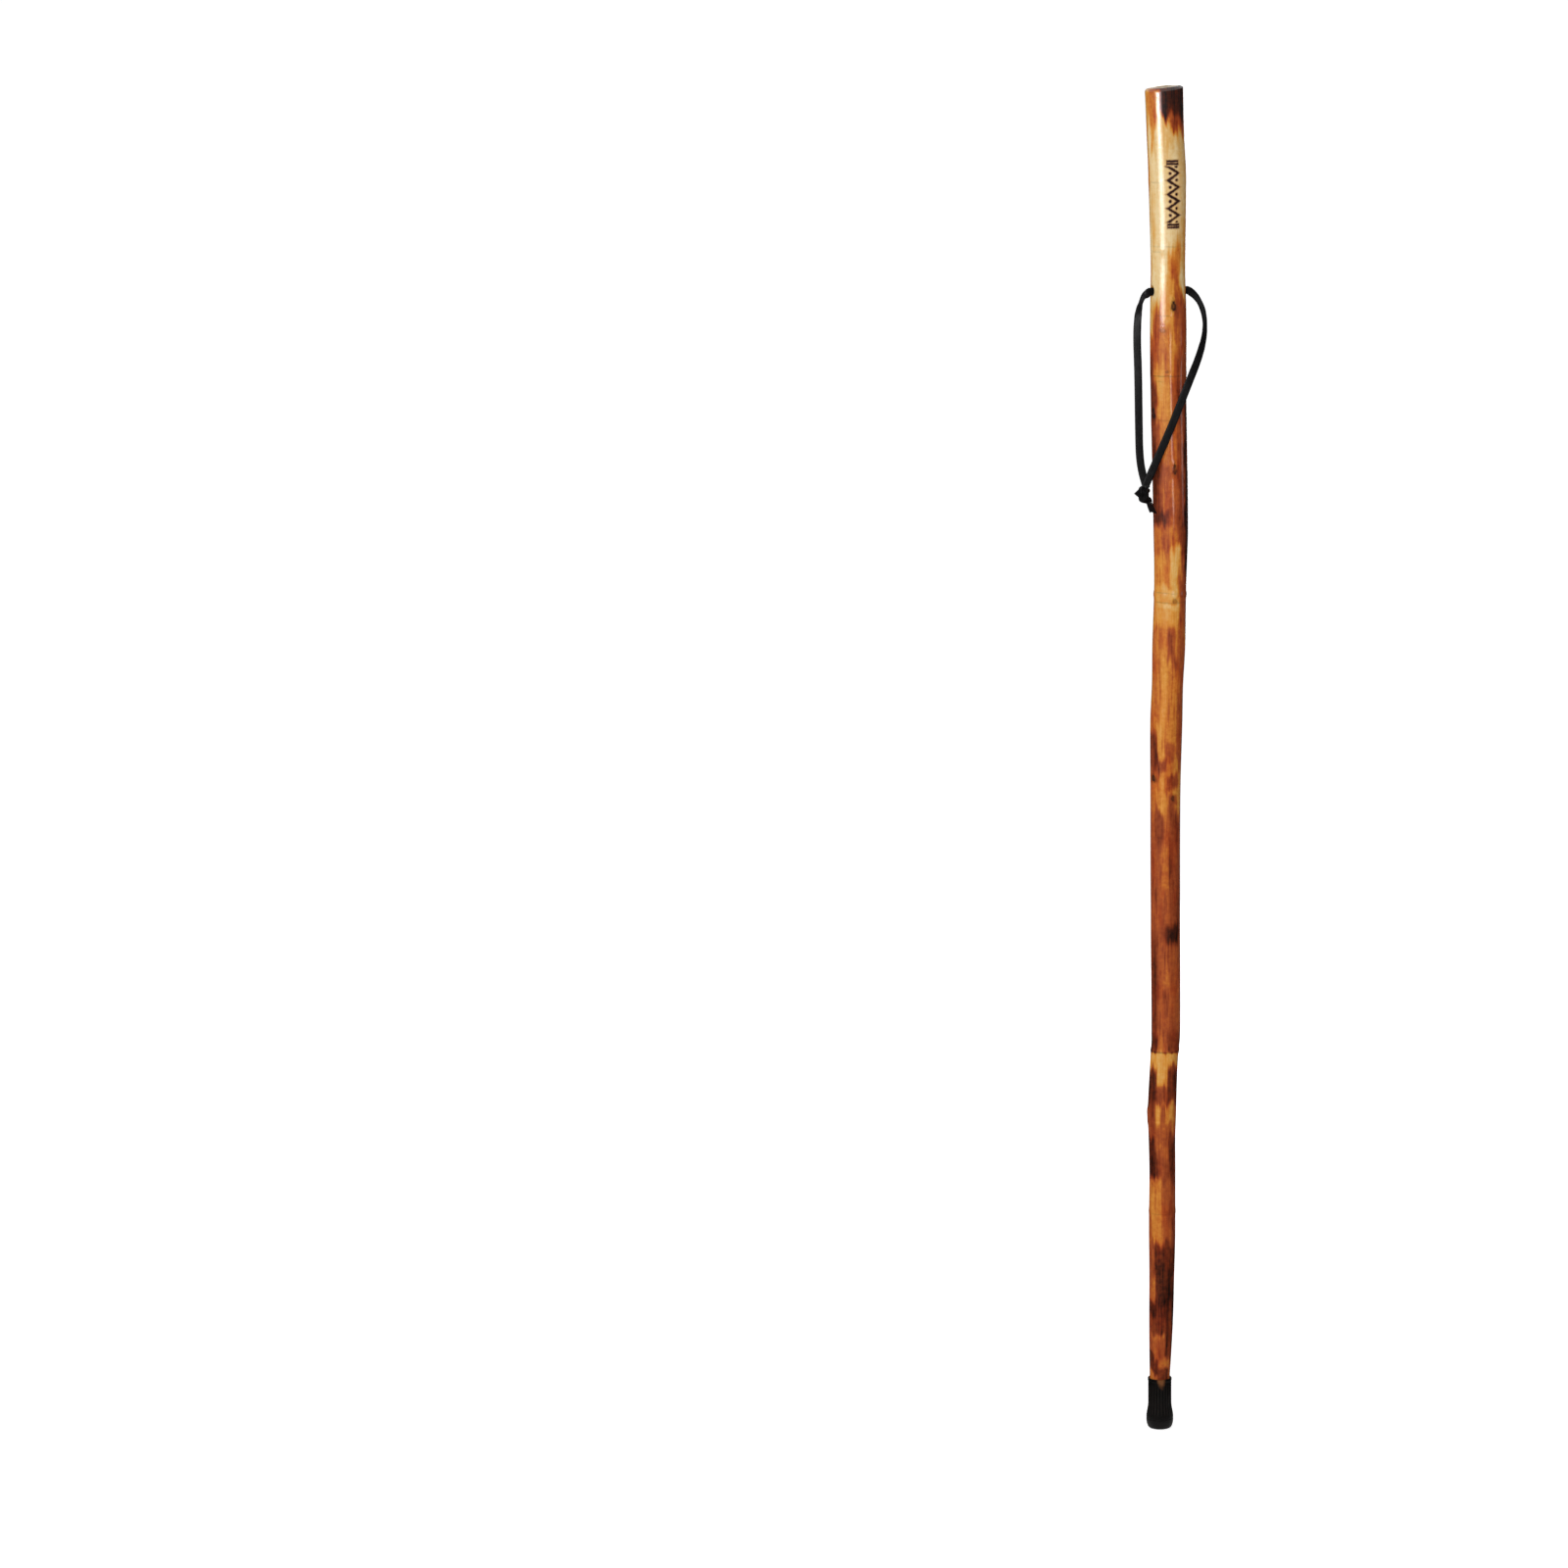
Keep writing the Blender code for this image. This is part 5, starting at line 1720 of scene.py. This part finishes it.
@dataclass
class Studio:
    """A pale floor, soft lamps, the camera, and a round black card that only the varnish sees."""

    floor_height: float
    lens: float = 150.7
    camera_place: tuple[float, float, float] = (-0.0018, -6.0, 0.7128)
    yaw: float = math.radians(-3.3955)
    pitch: float = math.radians(-11.0521)
    roll: float = math.radians(-0.6517)
    sensor_mm: float = 36.0
    floor_reach: float = 60.0
    card_reach: float = 1.6
    card_height: float = 1.5
    card_apron: float = 0.05  # where the card's foot starts on the floor
    card_lift: float = 0.002
    card_sides: int = 24

    softboxes = (
        Softbox("window_left", -36, 1.2, -0.165, 0.34, 1.20, 23.0, 0.5, 0.10),
        Softbox("window_head", -38, 1.2, 0.03, 0.12, 0.50, 6.0, 0.5, 0.4),
        Softbox("strip_front", 16, 1.2, -0.44, -0.16, 0.36, 1.3, 0.5, 0.15),
        Softbox("strip_right", 88, 1.2, -0.44, -0.11, 0.46, 0.7, 0.5, 0.4),
        Softbox("window_back", 178, 1.2, -0.6, 0.4, 0.40, 10.0, 0.5, 0.1),
        Softbox("key_broad", -5, 2.4, -1.0, 1.0, 1.2, 44.0, 0.3, 0.1, False),
        Softbox("key_narrow", -32, 2.4, -0.8, 0.8, 0.3, 18.0, 0.3, 0.1, False),
        Softbox("fill_left", -118, 2.4, -1.0, 1.0, 1.2, 40.0, 0.3, 0.1, False),
        Softbox("fill_right", 132, 2.4, -1.0, 1.0, 1.2, 20.0, 0.3, 0.1, False),
        Softbox("fill_back", 180, 2.4, -1.0, 1.0, 1.2, 16.0, 0.3, 0.1, False),
    )

    def camera(self) -> bpy.types.Object:
        """Makes the camera at the photograph's angle.

        Returns:
            The camera.
        """
        level = Vector((math.sin(self.yaw), math.cos(self.yaw), 0)) * math.cos(self.pitch)
        forward = level + Vector((0, 0, math.sin(self.pitch)))
        right = forward.cross(Vector((0, 0, 1))).normalized()
        up = right.cross(forward)
        turned = right * math.cos(self.roll) + up * math.sin(self.roll)
        up = up * math.cos(self.roll) - right * math.sin(self.roll)
        data = bpy.data.cameras.new("camera")
        data.lens = self.lens
        data.sensor_width = self.sensor_mm
        data.clip_end = 200
        ob = bpy.data.objects.new("camera", data)
        facing = Matrix((turned, up, -forward)).transposed()
        ob.matrix_world = Matrix.Translation(Vector(self.camera_place)) @ facing.to_4x4()
        bpy.context.collection.objects.link(ob)
        bpy.context.scene.camera = ob
        return ob

    def lamps(self) -> None:
        """Sets up the soft lamps round the staff."""
        for box in self.softboxes:
            data = bpy.data.lights.new(box.name, "AREA")
            data.shape = "RECTANGLE"
            data.size = box.wide
            data.size_y = box.top - box.bottom
            data.energy = box.power
            ob = bpy.data.objects.new(box.name, data)
            turn = math.radians(box.turn)
            middle = (box.top + box.bottom) / 2
            ob.location = (math.sin(turn) * box.reach, -math.cos(turn) * box.reach, middle)
            ob.rotation_euler = (math.pi / 2, 0, turn)
            ob.visible_camera = False
            ob.visible_glossy = box.mirrored
            ob.visible_diffuse = not box.mirrored
            bpy.context.collection.objects.link(ob)
            self.feather(data, box)

    def feather(self, lamp: bpy.types.Light, box: Softbox) -> None:
        """Fades a lamp's cloth towards its edges, so that the varnish shows no hard frame.

        Args:
            lamp: The lamp.
            box: Its sizes.
        """
        lamp.use_nodes = True
        tree = lamp.node_tree
        cloth = add(tree, "NewGeometry")["Parametric"]
        x, y, _ = add(tree, "SeparateXYZ", {0: cloth})
        shares = []
        for place, fade in ((x, box.sides), (y, box.ends)):
            edge = add(tree, "Math", {0: place, 1: 0.5}, operation="PINGPONG")[0]
            ends = {"Value": edge, "From Max": fade}
            shares.append(add(tree, "MapRange", ends, interpolation_type="SMOOTHSTEP")[0])
        both = add(tree, "Math", dict(enumerate(shares)), operation="MULTIPLY")[0]
        plug(tree.nodes["Emission"], {"Strength": both})

    def card(self) -> None:
        """Stands the black card round the staff, to keep the bright paper out of the varnish."""
        black, _, shader = start_material("black_felt_card")
        plug(shader, {"Base Color": linear("#0C0C0C"), "Roughness": 1.0, "Specular IOR Level": 0.0})
        foot = self.floor_height + self.card_lift
        head = foot + self.card_height
        outline = ((self.card_apron, foot), (self.card_reach, foot), (self.card_reach, head))
        turns = [2 * math.pi * k / self.card_sides - math.pi for k in range(self.card_sides + 1)]
        points = [(math.sin(a) * r, -math.cos(a) * r, z) for r, z in outline for a in turns]
        row = len(turns)
        corners = [i * row + k for i in range(len(outline) - 1) for k in range(self.card_sides)]
        mesh = bpy.data.meshes.new("black_card")
        mesh.from_pydata(points, [], [(k, k + 1, k + row + 1, k + row) for k in corners])
        mesh.materials.append(black)
        card = new_object("black_card", mesh)
        card.visible_camera = False
        card.visible_diffuse = False
        card.visible_shadow = False

    def seen(self, tree: Tree) -> Socket:
        """1 for rays from the camera and in reflections or glass, else 0.

        Args:
            tree: The node tree.

        Returns:
            The value.
        """
        path = add(tree, "LightPath")
        first = {0: path["Is Camera Ray"], 1: path["Is Glossy Ray"]}
        both = {0: add(tree, "Math", first, operation="MAXIMUM")[0], 1: path["Is Transmission Ray"]}
        return add(tree, "Math", both, operation="MAXIMUM")[0]

    def surroundings(self) -> None:
        """Makes the plain pale world."""
        world = bpy.data.worlds.new("pale_room")
        world.use_nodes = True
        tree = world.node_tree
        level = add(tree, "MapRange", {"Value": self.seen(tree), "To Min": 0.16, "To Max": 1.0})[0]
        plug(tree.nodes["Background"], {"Strength": level, "Color": (1, 1, 1, 1)})
        bpy.context.scene.world = world

    def floor(self) -> bpy.types.Object:
        """Lays the pale floor, which keeps the staff's shadow.

        Returns:
            The floor.
        """
        bm = bmesh.new()
        bmesh.ops.create_grid(bm, x_segments=1, y_segments=1, size=self.floor_reach)
        mesh = bpy.data.meshes.new("studio_floor")
        bm.to_mesh(mesh)
        bm.free()
        floor = new_object("studio_floor", mesh)
        floor.location = (0, 0, self.floor_height)
        made, tree, shader = start_material("seamless_white_paper")
        spot = add(tree, "TexCoord")["Object"]
        away = add(tree, "VectorMath", {0: spot}, operation="LENGTH")["Value"]
        ends = {"Value": away, "From Min": 0.15, "From Max": 1.2, "To Min": 0.72, "To Max": 0.86}
        far = add(tree, "MapRange", ends, interpolation_type="SMOOTHSTEP")[0]
        inputs = {
            "Base Color": (0.86, 0.86, 0.86, 1),
            "Roughness": 0.9,
            "Specular IOR Level": 0.1,
            "Emission Color": (1, 1, 1, 1),
            "Emission Strength": add(tree, "Math", {0: far, 1: self.seen(tree)}, operation="MULTIPLY")[0],
        }
        plug(shader, inputs)
        mesh.materials.append(made)
        return floor


def main() -> None:
    """Builds the staff and the studio round it."""
    logging.basicConfig(level=logging.INFO, format="%(name)s: %(message)s")
    shaft = SaplingShaft()
    studio = Studio(shaft.sole)
    studio.camera()
    lace = WristLace(shaft)
    straps = lace.build()
    lace.dress(straps)
    LOG.info("lace: %d straps", len(straps))
    bark = shaft.build()
    shaft.dress(bark)
    LOG.info("shaft: %d faces", len(bark.data.polygons))
    tip = RubberTip(shaft)
    ferrule = tip.build()
    tip.dress(ferrule)
    LOG.info("ferrule: %d faces", len(ferrule.data.polygons))
    studio.lamps()
    studio.card()
    studio.surroundings()
    studio.floor()
    LOG.info("studio: %d softboxes", len(studio.softboxes))
    bpy.context.scene.view_settings.view_transform = "Standard"


if __name__ == "__main__":
    main()
